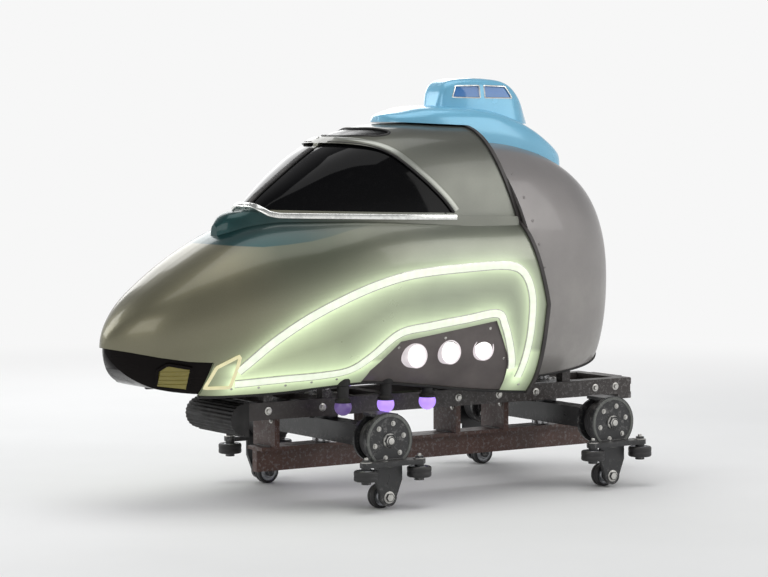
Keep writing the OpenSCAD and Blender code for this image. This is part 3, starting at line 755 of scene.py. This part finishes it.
BODY, BODY_IN = form("body", steps=14), form("body", -WALL, 60)
CANOPY_IN = form("canopy", -WALL, 90)
ARC = spline(WINDOW_ARC, 5)
WINDOW = ARC.tolist() + [[WINDOW_FRONT, 1060], [560, 1060],
                         [560, WINDOW_Z + 560 * FOOT_SLOPE]]
UNDER_RIM = [[-600, 700], [-600, RIM_Z - 600 * FOOT_SLOPE], [600, RIM_Z + 600 * FOOT_SLOPE],
             [600, 700]]
ARCH = band(np.vstack([[[-54, RIM_Z - 4]], ARC]), 2 * ARCH_WIDTH)
ROOF_CUT = spline(ROOF_WINDOW, 5)
ROOF_CUT = np.vstack([ROOF_CUT, ROOF_CUT[::-1] * [1, -1]])
LENS = [[min(x, LENS_END), z] for x, z in HEADLAMP]

nose = shell("body_shell", "silver_shell", SILVER, boolean(
    BODY, (CUT, BODY_IN), (CUT, CANOPY_IN), (CUT, across(CHIN)),
    (CUT, across(RECESS, RECESS_Y)), (CUT, behind_seam())), "nose_shell")

rim = boolean(form("canopy", RIM_OUT, steps=10), (KEEP, across(UNDER_RIM)))
arch = boolean(form("canopy", ARCH_OUT, steps=10), (KEEP, across(ARCH)))
roof_hole = upright(ROOF_CUT, 900, 1200)
shell("canopy_shell_skin", "silver_shell", SILVER_TOP, boolean(
    form("canopy", steps=10), (ADD, rim), (ADD, arch), (CUT, CANOPY_IN),
    (CUT, form("body", TOUCH)), (CUT, across(WINDOW, SPINE)), (CUT, roof_hole),
    (CUT, behind_seam())), "canopy_shell")

glass_skin = boolean(form("canopy", -2), (CUT, form("canopy", -2 - GLASS, 90)))
place("side_glazing", "black_glass", BLACK_GLASS,
      boolean(glass_skin, (KEEP, across(WINDOW, SPINE + TOUCH))), "side_windows")
place("roof_glazing", "black_glass", ROOF_GLASS,
      boolean(glass_skin, (KEEP, roof_hole)), "roof_window")

place("chin_skin", "black_gloss", BLACK_GLOSS, boolean(
    form("body", -6), (CUT, form("body", -14)),
    (KEEP, moved(across(CHIN), (TOUCH, 0, -TOUCH)))), "chin_panel")
place("headlamp_lenses", "amber_lamp", AMBER, boolean(
    form("body", -1), (CUT, form("body", -5.9)), (KEEP, across(LENS, 40))), "headlamps")
place("lamp_recess_panels", "dark_plastic", PANEL, boolean(
    form("body", -5, 5), (KEEP, BODY), (KEEP, across(RECESS, RECESS_Y + TOUCH)),
    (CUT, BODY_IN)), "lamp_panels")
place("seam_band", "dark_plastic", SEAM, boolean(
    boolean(form("body", RING_OUT), (ADD, form("canopy", RING_OUT))),
    (CUT, form("body", -30, 60)), (CUT, form("canopy", -30, 90)),
    (CUT, behind_seam(RING_WIDTH)), (KEEP, behind_seam(TOUCH))), "seam_ring")
shell("rear_cap_skin", "mauve_shell", MAUVE, boolean(
    form("cap"), (CUT, form("cap", -WALL, 60)),
    (KEEP, behind_seam(RING_WIDTH + TOUCH))), "rear_cap")

panes = join(across(FRONT_PANE, PANE_DEPTH), across(REAR_PANE, PANE_DEPTH))
over_canopy = boolean(form("canopy", RING_OUT + TOUCH, 90), (CUT, behind_seam(RING_WIDTH)))
place("roof_pod_skin", "blue_shell", BLUE, boolean(
    form("brim"), (ADD, form("crown")), (CUT, over_canopy), (CUT, form("cap", TOUCH)),
    (CUT, panes)), "roof_pod", angle=35)
place("pod_glazing", "blue_glass", BLUE_GLASS,
      boolean(form("crown", -3), (KEEP, panes)), "pod_windows")


# trim on the shells
def on_side(kind, outline, gap, closed=False, lift=0.0, e=3.0):
    """An X-Z line laid on a moulded side: its points and normals on the left."""
    pts = [side_frame(kind, x, z, e=e) for x, z in even(outline, gap, closed)]
    return np.array([p + n * lift for p, n in pts]), np.array([n for _, n in pts])


def side_trim(kind, outline, section, gap=9.0, closed=False, lift=0.0):
    p, n = on_side(kind, outline, gap, closed, lift)
    return both(sweep(p, n, section, closed))


def top_trim(line, section, closed=False):
    """A section laid along a line of (x, y) points on the canopy's top."""
    pts = [top_frame("canopy", x, y) for x, y in line]
    return sweep([p for p, _ in pts], [n for _, n in pts], section, closed)


def and_back(path):
    """A path along the left side that returns, mirrored, along the right."""
    return np.vstack([path, path[::-1] * FLIP])


def on_canopy_side(path):
    """The part of a path that lies beside the pillar, not over it."""
    return np.array([(x, z) for x, z in path if y_on("canopy", x, z) > SPINE + 8])


# gasket and bright band round each side window
place("side_window_gaskets", "dark_plastic", RUBBER, side_trim(
    "canopy", on_canopy_side(even(ARC, 4)), disc_section(4.0, 10, 0.8), lift=3.5))
arch_line = on_canopy_side(even(beside(ARC, ARCH_WIDTH / 2 + 1), 4))
place("arch_bands", "silver_shell", SILVER_BRIGHT, side_trim(
    "canopy", arch_line, bar_section(ARCH_WIDTH - 5, 3.6, 5.8, 1.2, 0.7)))

# bright belt: along the rim, then up and round in front of the windows
BELT_FROM, BELT_TO, BELT_SLOPE, BELT_TIP_OUT = -50, 430, 0.016, 4
BELT_RISE = [436, 457, 474, 500], [0, 5, 19, 46]


def belt_z(x):
    """Height of the belt: nearly level along the rim, then rising round the front."""
    return RIM_Z - 4.5 + x * BELT_SLOPE + np.interp(x, *BELT_RISE)


def belt_x(y, g):
    """Where the rising belt meets the canopy at a distance y from the centre line."""
    low, high = 400.0, 520.0
    for _ in range(30):
        mid = (low + high) / 2
        if y_on("canopy", mid, belt_z(mid), g) > y:
            low = mid
        else:
            high = mid
    return low


belt = [side_frame("canopy", x, belt_z(x), RIM_OUT) for x in np.linspace(BELT_FROM, BELT_TO, 84)]
last_y = belt[-1][0][1]
for y in np.linspace(last_y, 1, 34)[1:]:
    g = BELT_TIP_OUT + (RIM_OUT - BELT_TIP_OUT) * y / last_y
    x = belt_x(y, g)
    n = side_frame("canopy", x, belt_z(x), g)[1]
    belt.append((np.array([x, y, belt_z(x)]), n * [1, min(y / 25, 1), 1]))
belt_p, belt_n = [and_back(np.array(part)) for part in zip(*belt)]
place("belt_moulding", "silver_shell", CHROME,
      sweep(belt_p, belt_n, bar_section(17, -9, 2.6, 1.8, 0.9)))

# rubber cover over the pillar between the side windows, and the roof window's gasket
place("pillar_cover", "dark_plastic", RUBBER, top_trim(
    [(x, 0) for x in np.linspace(WINDOW_FRONT - 6, 468, 44)],
    bar_section(2 * SPINE + 5, -1.5, 1.8, 1.2, 1.2)))
place("roof_window_gasket", "dark_plastic", RUBBER, top_trim(
    even(ROOF_CUT, 8, True), disc_section(4, 8, 0.8), True))


# lower edging on the shells
def lower_edge(kind, x0, x1, n):
    """Points along the lower edge of a shell's left side."""
    pts = []
    for x in np.linspace(x0, x1, n):
        h, w = station(kind, x)
        pts.append((x, w[0] - 5, h[0]))
    return np.array(pts)


def edging(path):
    return sweep(path, [(0, 0, -1)] * len(path), disc_section(8.5, 12, 0.62))


place("shell_edging", "silver_shell", RUBBER,
      both(edging(lower_edge("body", SEAM_X + 2, 722, 80))))
place("cap_edging", "mauve_shell", RUBBER,
      edging(and_back(lower_edge("cap", SEAM_X - RING_WIDTH - 2, -700, 60))))

# light strips from the corner frame backwards: bright channel, crowned diffuser
strips = [s[s[:, 0] < CORNER_END] for s in (spline(UPPER_STRIP, 6), spline(LOWER_STRIP, 6))]


def along_strips(section):
    return join(*[side_trim("body", s, section, 11) for s in strips])


place("strip_channels", "dark_plastic", ZINC,
      along_strips(bar_section(STRIP_WIDTH, 0.1, 3.0, 1.0)), "light_strips")
place("corner_diffusers", "white_lamp", WARM_LIGHT, side_trim(
    "body", even(CORNER, 7, True), bar_section(9, 0.1, 4.6, 1.4, 0.4), 7, True))
place("strip_diffusers", "white_lamp", WHITE_LIGHT,
      along_strips(bar_section(STRIP_WIDTH - 5, 1.0, 4.4, 1.4, 0.9)))

# lens frames and ribs on the chin
place("headlamp_frames", "black_gloss", BLACK_GLOSS, side_trim(
    "body", HEADLAMP, bar_section(9, -5.6, 0.8, 1.2), 8, True))
ribs = [side_trim("body", [(764, z), (834, z)], disc_section(1.8, 8), 6, lift=-0.6)
        for z in (368, 380, 392, 404)]
place("headlamp_ribs", "amber_lamp", AMBER, join(*ribs))


def turned(profile, spots, axis, seg):
    """A profile turned at every spot on the left, and on the right."""
    return both(join(*[lathe(profile, at, axis, seg) for at in spots]))


# round lamps: domed lens and pale lit bezel
DOME = [(31, 0.0), (31, 3.0), (29.5, 7.0), (25, 10.0), (18, 12.2), (9, 13.5), (0, 13.8)]
BEZEL = [(31.2, 4), (31.6, 9.0), (33, 11.2), (34.6, 10.8), (35.5, 8), (35.5, -24), (31.2, -24)]
lamps_at = [(x, LAMP_Y - 12, z) for x, z in zip(LAMP_X, LAMP_Z)]
place("lamp_lenses", "white_lamp", LAMP_LIGHT, turned(DOME, lamps_at, Y_AXIS, 48),
      "side_lamps")
place("lamp_bezels", "white_lamp", RING_LIGHT, turned(BEZEL, lamps_at, Y_AXIS, 48))

# violet lamps under the lower edge: ball lens, dimmer on the front one, and collar
BALL = [(GLOW_R * math.sin(t), -GLOW_R * math.cos(t)) for t in np.linspace(0.16, 2.15, 16)]
BALL = [(0, -GLOW_R)] + BALL + [(0, GLOW_R * 0.55)]
COLLAR = [(0, 12), (GLOW_R - 2, 12), (GLOW_R - 1, 14), (GLOW_R - 1, 20), (GLOW_R - 4, 23),
          (17, 26), (17, 60), (21, 62), (21, 82), (0, 82)]
glow_at = [(x, GLOW_Y, GLOW_Z) for x in GLOW_X]
place("violet_lenses", "purple_lamp", VIOLET_LIGHT, turned(BALL, glow_at[:-1], Z_AXIS, 40),
      "glow_lamps")
place("dim_violet_lenses", "purple_lamp", DIM_VIOLET, turned(BALL, glow_at[-1:], Z_AXIS, 40))
place("violet_lamp_collars", "dark_plastic", RUBBER, turned(COLLAR, glow_at, Z_AXIS, 40))

# pane frames on the pod
pane_frames = []
for pane in (FRONT_PANE, REAR_PANE):
    p, n = on_side("crown", pane, 6, True, e=2.0)
    pane_frames.append(both(sweep(p - [0, 1, 0], n, disc_section(2.6, 8), True)))
place("pod_pane_frames", "blue_shell", CHROME, join(*pane_frames))


# painted light: the strips' glow painted on the body paint as emission, brightest near a strip,
# kept on the mesh
def inside_loop(loop, x, z):
    """Whether a point of the side lies inside a closed loop of (x, z) points."""
    hit = False
    for (xa, za), (xb, zb) in zip(loop, np.roll(loop, 1, 0)):
        if (za > z) != (zb > z) and x < (xb - xa) * (z - za) / (zb - za) + xa:
            hit = not hit
    return hit


EDGE_GLOW, EDGE_REACH, INNER_REACH, OUTER_REACH = 0.55, 14.0, 95.0, 42.0
GLOW_BETWEEN, GLOW_AHEAD, AHEAD_X = 0.42, 0.40, 420
GLOW_BELOW, GLOW_ABOVE, BELOW_Z = 0.85, 0.26, 420
BETWEEN = np.vstack([strips[0][::4], strips[1][::-4]])
co = np.empty(len(nose.data.vertices) * 3)
nose.data.vertices.foreach_get("co", co)
co = co.reshape(-1, 3) / MM
near = np.full(len(co), 1e9)
for s in strips:
    apart = np.linalg.norm(co[:, None, [0, 2]] - even(s, 14)[None], axis=2)
    near = np.minimum(near, np.min(apart, axis=1))
far = np.maximum(near - STRIP_WIDTH / 2, 0)
inner = np.array([inside_loop(BETWEEN, x, z) for x, z in co[:, [0, 2]]])
wide = np.where(inner, GLOW_BETWEEN + GLOW_AHEAD * np.clip(co[:, 0] / AHEAD_X, 0, 1),
                np.where(co[:, 2] < BELOW_Z, GLOW_BELOW, GLOW_ABOVE))
reach = np.where(inner, INNER_REACH, OUTER_REACH)
light = EDGE_GLOW * np.exp(-far / EDGE_REACH) + wide * np.exp(-far / reach)
light *= np.clip((np.abs(co[:, 1]) - 90) / 80, 0, 1)
attr = nose.data.attributes.new("strip_light", "FLOAT", "POINT")
attr.data.foreach_set("value", light.astype(np.float32))


# fasteners
def hex_bolt(at, axis, r, h, washer=True):
    out = [lathe([(r, 0), (r, h - 1.2), (r * 0.86, h), (0, h)], at, axis, 6)]
    if washer:
        out.append(lathe([(r * 1.45, -0.5), (r * 1.45, 1.1), (r * 1.3, 1.6), (0, 1.6)], at,
                         axis, 24))
    return join(*out)


def screw(at, axis, r):
    return lathe([(r, -1), (r, 0.6), (r * 0.8, 1.7), (r * 0.45, 2.2), (r * 0.38, 1.2),
                  (0, 1.2)], at, axis, 16)


def ring_of(make, centre, axis, radius, count, start=0.0):
    """What `make` gives, set evenly round an axis."""
    a, u, w = axes_for(axis)
    out = []
    for k in range(count):
        t = 2 * math.pi * (k + start) / count
        out.append(make(np.asarray(centre) + radius * (math.cos(t) * u + math.sin(t) * w), a))
    return join(*out)


# screws on the rear cap, along the body's lower edge and on the lamp panels
PANEL_SCREWS = [[222, 372], [150, 452], [-150, 496], [-216, 404], [-232, 318], [0, 474]]
screws, cap_screws = [], []
for z in np.linspace(395, 1010, 10):
    x = SEAM_X - RING_WIDTH - 26 + max(z - SEAM_KNEE, 0) * SEAM_RAKE
    cap_screws.append(both(screw(*side_frame("cap", x, z), 4.5)))
for x in np.linspace(-300, 640, 13):
    if x < -262 or x > 250:
        z = station("body", x)[0][0] + 22
        screws.append(both(screw(*side_frame("body", x, z), 4.0)))
for x, z in PANEL_SCREWS:
    screws.append(both(screw(*side_frame("body", x, z, -5), 4.5)))
place("shell_screws", "steel", ZINC, join(*screws))
place("cap_screws", "mauve_shell", MAUVE, join(*cap_screws))


# chassis
def dress(node, mat, bevel=1.6):
    """A CAD node that stays: its own material and softly broken edges."""
    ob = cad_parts[node]
    ob.data.materials.clear()
    ob.data.materials.append(mat)
    ob.data.polygons.foreach_set("use_smooth", [True] * len(ob.data.polygons))
    m = ob.modifiers.new("edges", "BEVEL")
    m.width, m.segments, m.limit_method = bevel * MM, 2, "ANGLE"
    m.angle_limit = math.radians(40)


for node in ("frame", "outriggers", "coupler"):
    dress(node, CHASSIS)
dress("drive_beam", BEAM)
dress("king_pins", STEEL, 0.8)
for end in ("front", "rear"):
    dress(end + "_axle_beam", TRUCK)
    for side in ("left", "right"):
        dress(f"{end}_carriage_{side}", TRUCK, 1.2)

# bolts on the cross members, pin seats, tubes, outriggers, coupler and buffer plate
PLATE_X, COUPLER_X = FRAME_FRONT + 14, FRAME_REAR - 14
TUBE_BOLTS = (482, 300, -60, -180, -330, -470, -700, -780)
OUTRIGGER_BOLTS = (480, 282, -303)
hardware = []
for x in CROSS_X:
    for s in (LEFT, RIGHT):
        for d in (-1, 1):
            hardware.append(hex_bolt((x + 8 * d, s * 40, 236), (d, 0, 0), 6, 5))
for x in (FRONT_X, REAR_X):
    hardware.append(ring_of(lambda p, a: hex_bolt(p, a, 5, 4), (x, 0, TUBE_HIGH), Z_AXIS,
                            42, 6))
for row, out, z, r, h in ((TUBE_BOLTS, 20, 275, 8, 6.5), (OUTRIGGER_BOLTS, 15, 332, 6, 5)):
    for x in row:
        for s in (LEFT, RIGHT):
            hardware.append(hex_bolt((x, s * (TUBE_Y + out), z), (0, s, 0), r, h))
for s in (LEFT, RIGHT):
    for z in (232, 280):
        hardware.append(hex_bolt((COUPLER_X, s * 52, z), (-1, 0, 0), 8, 6))
        hardware.append(hex_bolt((PLATE_X, s * 112, z), (1, 0, 0), 5, 4))
place("chassis_bolts", "steel", ZINC, join(*hardware))


def bead(a, b, n, r=3.2):
    """A rippled weld bead from a to b, facing n."""
    a, b = np.asarray(a, float), np.asarray(b, float)
    count = max(int(np.linalg.norm(b - a) / 3.0), 4)
    path = np.linspace(a, b, count)
    v, f = sweep(path, [n] * count, disc_section(r, 8))
    k = np.repeat(1 + 0.16 * np.sin(np.arange(count) * 2.2), 8)
    centre = np.repeat(path, 8, 0)
    return centre + (v - centre) * k[:, None], f


# weld beads at the cross members, the hangers and the drive beam
beads = []
for x in (FRAME_FRONT - 20, *CROSS_X, FRAME_REAR + 20):
    for s in (LEFT, RIGHT):
        y = s * (TUBE_Y - 20)
        for e in (-20, 20):
            if FRAME_REAR < x + e < FRAME_FRONT:
                beads.append(bead((x + e, y, TUBE_LOW + 2), (x + e, y, TUBE_HIGH - 2),
                                  (1, -s, 0)))
for x in CROSS_X:
    for e in (-8, 8):
        for y, z in ((38, 158), (58, TUBE_LOW)):
            beads.append(bead((x + e, -y, z), (x + e, y, z), Z_AXIS))
for s in (LEFT, RIGHT):
    beads.append(bead((FRAME_REAR + 22, s * 12, 148), (448, s * 12, 148), (0, s, -1), 2.6))
place("weld_beads", "chassis_paint", CHASSIS, join(*beads), angle=60)

# front buffer: ribbed rubber on its plate
BUFFER_R, BUFFER_Y, BUFFER_Z, PLATE_HALF = 46, 130, 255, 50
buffer = []
for k in range(73):
    t = math.pi * (k / 72) - math.pi / 2
    r = BUFFER_R - 2.2 * (0.5 - 0.5 * math.cos(k * 2 * math.pi / 6))
    buffer.append((PLATE_X + r * math.cos(t), BUFFER_Z + r * math.sin(t)))
plate = box(FRAME_FRONT, PLATE_X + 0.5, -BUFFER_Y, BUFFER_Y, BUFFER_Z - PLATE_HALF,
            BUFFER_Z + PLATE_HALF)
place("buffer_block", "buffer_rubber", RUBBER,
      boolean(prism(buffer, -BUFFER_Y, BUFFER_Y), (ADD, plate)), "front_buffer", angle=25)


# trucks and wheels
def full(half):
    """A wheel's profile from its lower half; the upper half mirrors it."""
    return half + [(r, -h) for r, h in half[::-1]]


TYRE = full([(44, -19.4), (47, -20), (54, -20), (57.5, -18.6), (59.4, -15.5), (60, -10),
             (60, -5), (59.2, -4), (59.2, -3), (60, -2)])
ROAD_HUB = full([(12.1, -20), (22.5, -20), (24, -19), (25, -14), (28, -12), (37, -12),
                 (39.5, -14), (40.5, -17.6), (43.9, -18)])
SMALL_TREAD = full([(28, -15), (31.5, -15), (33.4, -13.8), (35, -11), (35, -3), (34.4, -2)])
SMALL_CORE = full([(8.1, -15), (17, -15), (18.2, -14.2), (20, -11.6), (25.4, -11.6),
                   (27, -13.8), (27.9, -14.6)])
PLATE_RIM = [(PLATE_R - 12, 0), (PLATE_R - 10.5, 2.6), (PLATE_R - 4, 2.6), (PLATE_R - 2.5, 0),
             (PLATE_R - 2.5, -0.5), (PLATE_R - 12, -0.5)]
HUB_CAP = [(21, 0), (21, 3), (19, 4.5), (14, 9), (12, 11.5), (6, 12.6), (0, 13)]
ARM_Z, ARM_WELD_X, ARM_WELD_Z = 142, 44, 143
BEAM_WELD_X, BEAM_WELD_Y, BEAM_WELD_Z = 32, 257, (178, 228)
BEAM_BOLT_X, BEAM_BOLT_Y, BEAM_BOLT_Z = 38, 258, (170, 232)
FORK_WELD_X, FORK_WELD_Y, FORK_WELD_Z = 30, 281, 262


def truck_details(x, s):
    """Ring, bolts, hub cap and guide wheel nuts on one carriage; the ring is painted lighter as
    a painted highlight along the plate's lit edge.
    """
    y, out = s * (PLATE_Y + 12), (0, s, 0)
    rims = [lathe(PLATE_RIM, (x, y, ROAD_Z), out, 72)]
    zinc = [ring_of(lambda p, a: hex_bolt(p, a, 5.2, 4.5), (x, y, ROAD_Z), out, 50, 6, 0.25),
            lathe(HUB_CAP, (x, y, ROAD_Z), out, 36), hex_bolt((x, y, UPSTOP_Z), out, 12, 7.5)]
    for d in (-GUIDE_OFFSET, GUIDE_OFFSET):
        at = (x + d, s * GUIDE_Y, ARM_Z)
        zinc.append(lathe([(17, -0.2), (17, 1.8), (15.5, 2.4), (0, 2.4)], at, Z_AXIS, 28))
        zinc.append(lathe([(6, 8), (6, 13), (5, 14.5), (0, 14.5)], at, Z_AXIS, 20))
    for d in (-34, 34):
        rims.append(lathe([(7, -0.5), (7, 3), (5.5, 4), (0, 4)], (x + d, y, 134), out, 20))
    return zinc, rims


def wheel_nut(p, a):
    return hex_bolt(p, a, 3.4, 3.2, washer=False)


for end, x in (("front", FRONT_X), ("rear", REAR_X)):
    zinc, rims, beads = [], [], []
    for s in (LEFT, RIGHT):
        metal, painted = truck_details(x, s)
        zinc += metal
        rims += painted
        for e in (-1, 1):
            low, high = [(x + e * BEAM_WELD_X, s * BEAM_WELD_Y, z) for z in BEAM_WELD_Z]
            beads.append(bead(low, high, (e, -s, 0)))
            for z in BEAM_BOLT_Z:
                at = (x + e * BEAM_BOLT_X, s * BEAM_BOLT_Y, z)
                zinc.append(hex_bolt(at, (0, -s, 0), 5, 4))
        for d, y, z, up in ((FORK_WELD_X, FORK_WELD_Y, FORK_WELD_Z, -1),
                            (ARM_WELD_X, PLATE_Y + 13, ARM_WELD_Z, 1)):
            beads.append(bead((x - d, s * y, z), (x + d, s * y, z), (0, s, up)))
    truck = end + "_truck"
    place(truck + "_bolts", "steel", ZINC, join(*zinc), body=truck)
    place(truck + "_rings", "truck_paint", RIM_PAINTED_HIGHLIGHT, join(*rims), body=truck)
    place(truck + "_welds", "truck_paint", TRUCK, join(*beads), body=truck, angle=60)
    for s, side in ((LEFT, "left"), (RIGHT, "right")):
        p = f"{end}_{side}_"
        at, out, wheel = (x, s * RAIL_Y, ROAD_Z), (0, s, 0), p + "road_wheel"
        place(p + "road_tyre", "wheel_tread", TREAD, lathe(TYRE, at, out, 72), p + "tyre",
              body=wheel, angle=40)
        place(p + "road_hub", "wheel_metal", HUB, lathe(ROAD_HUB, at, out, 64), p + "hub",
              body=wheel, angle=30)
        nuts = [ring_of(wheel_nut, (x, s * (RAIL_Y + 12 * d), ROAD_Z), (0, s * d, 0), 32.5, 8)
                for d in (1, -1)]
        place(p + "road_nuts", "steel", ZINC, join(*nuts), body=wheel)
        spots = {"guide_a": ((x + GUIDE_OFFSET, s * GUIDE_Y, RAIL_Z), Z_AXIS),
                 "guide_b": ((x - GUIDE_OFFSET, s * GUIDE_Y, RAIL_Z), Z_AXIS),
                 "upstop": ((x, s * RAIL_Y, UPSTOP_Z), Y_AXIS)}
        for name, (at, axis) in spots.items():
            wheel = p + name
            place(wheel + "_tread", "wheel_tread", TREAD, lathe(SMALL_TREAD, at, axis, 56),
                  wheel, body=wheel + "_wheel", angle=40)
            place(wheel + "_core", "wheel_metal", HUB, lathe(SMALL_CORE, at, axis, 48),
                  body=wheel + "_wheel", angle=30)


# stage, light and camera
def whiteness(nt):
    """1 for rays from the camera, from gloss and through glass."""
    rays = add_node(nt, "LightPath").outputs
    total = rays["Is Camera Ray"]
    for ray in ("Is Glossy Ray", "Is Transmission Ray"):
        total = add_node(nt, "Math", total, rays[ray], operation="MAXIMUM").outputs[0]
    return total


def floor_look():
    """Pale floor that keeps the car's shadow and turns white far away from the car."""
    k = Look("floor_pale")
    tone = k.mix(k.remap(k.noise(1.2, 4), 0.3, 0.7, 0, 1), (0.83, 0.83, 0.825),
                 (0.86, 0.86, 0.855))
    k.set(color=tone, rough=0.8, spec=0.1, normal=k.bump(k.noise(60, 3), 0.0004, 0.2))
    away = k.node("VectorMath", k.coord, operation="LENGTH").outputs["Value"]
    fade = k.node("MapRange", away, 1.6, 5.5, interpolation_type="SMOOTHSTEP").outputs[0]
    white = k.node("Emission", (0.93, 0.93, 0.93), 1.0).outputs[0]
    far = k.times(fade, whiteness(k.nt))
    mixed = k.node("MixShader", far, k.bsdf.outputs[0], white).outputs[0]
    feed(k.nt, k.nt.nodes["Material Output"].inputs["Surface"], mixed)
    return k.mat


def make_floor(reach=40000, rings=24):
    """A round floor, in mm, whose rings lie closer together near the car."""
    spokes = [(reach * (i / rings) ** 2, 0) for i in range(rings + 1)]
    me = mesh_of("floor", lathe(spokes, (0, 0, 0), (0, 0, -1), 64))
    me.materials.append(floor_look())
    add_object("floor", me)


def make_world():
    """Soft light from all round; white at the horizon and greyer overhead where it is seen."""
    world = bpy.data.worlds.new("studio")
    bpy.context.scene.world = world
    world.use_nodes = True
    nt = world.node_tree
    nt.nodes.clear()
    up = add_node(nt, "SeparateXYZ", add_node(nt, "TexCoord").outputs["Generated"])
    ramp = add_node(nt, "ValToRGB", up.outputs["Z"])
    tones = ramp.color_ramp.elements
    tones[0].position, tones[0].color = 0.10, (0.93, 0.93, 0.93, 1)
    tones[1].position, tones[1].color = 0.95, (0.20, 0.20, 0.205, 1)
    tones.new(0.38).color = (0.42, 0.42, 0.425, 1)
    soft = add_node(nt, "Background", (0.95, 0.97, 1.0), 0.42).outputs[0]
    seen = add_node(nt, "Background", ramp.outputs[0]).outputs[0]
    mixed = add_node(nt, "MixShader", whiteness(nt), soft, seen).outputs[0]
    add_node(nt, "OutputWorld", mixed)


def aim(ob, at, target):
    ob.location = at
    ob.rotation_euler = (Vector(target) - Vector(at)).to_track_quat("-Z", "Y").to_euler()


def area(name, at, target, size, power, color=(1, 1, 1)):
    data = bpy.data.lights.new(name, "AREA")
    data.shape, data.size, data.size_y = "RECTANGLE", size[0], size[1]
    data.energy, data.color = power, color
    aim(add_object(name, data), at, target)


make_floor()
make_world()
area("key", (-2.6, 3.6, 2.7), (0, 0, 0.6), (3.4, 2.6), 58, (1, 0.99, 0.97))
area("top", (0.3, 0.3, 4.8), (0, 0, 0.6), (4.0, 4.0), 90)
area("nose", (3.9, 1.3, 2.2), (0.3, 0, 0.6), (1.6, 1.2), 14, (1, 0.98, 0.95))
area("right", (-1.4, -4.0, 2.4), (0, 0, 0.6), (3.2, 2.2), 60)
area("right_front", (2.6, -3.2, 2.2), (0.2, 0, 0.6), (2.0, 1.6), 35)

cam_data = bpy.data.cameras.new("camera")
cam_data.sensor_width, cam_data.lens = 36, 118
cam = add_object("camera", cam_data)
aim(cam, (4.165, 6.209, 1.065), (0.0, 0.0, 0.60))
bpy.context.scene.camera = cam
bpy.context.scene.view_settings.view_transform = "Standard"
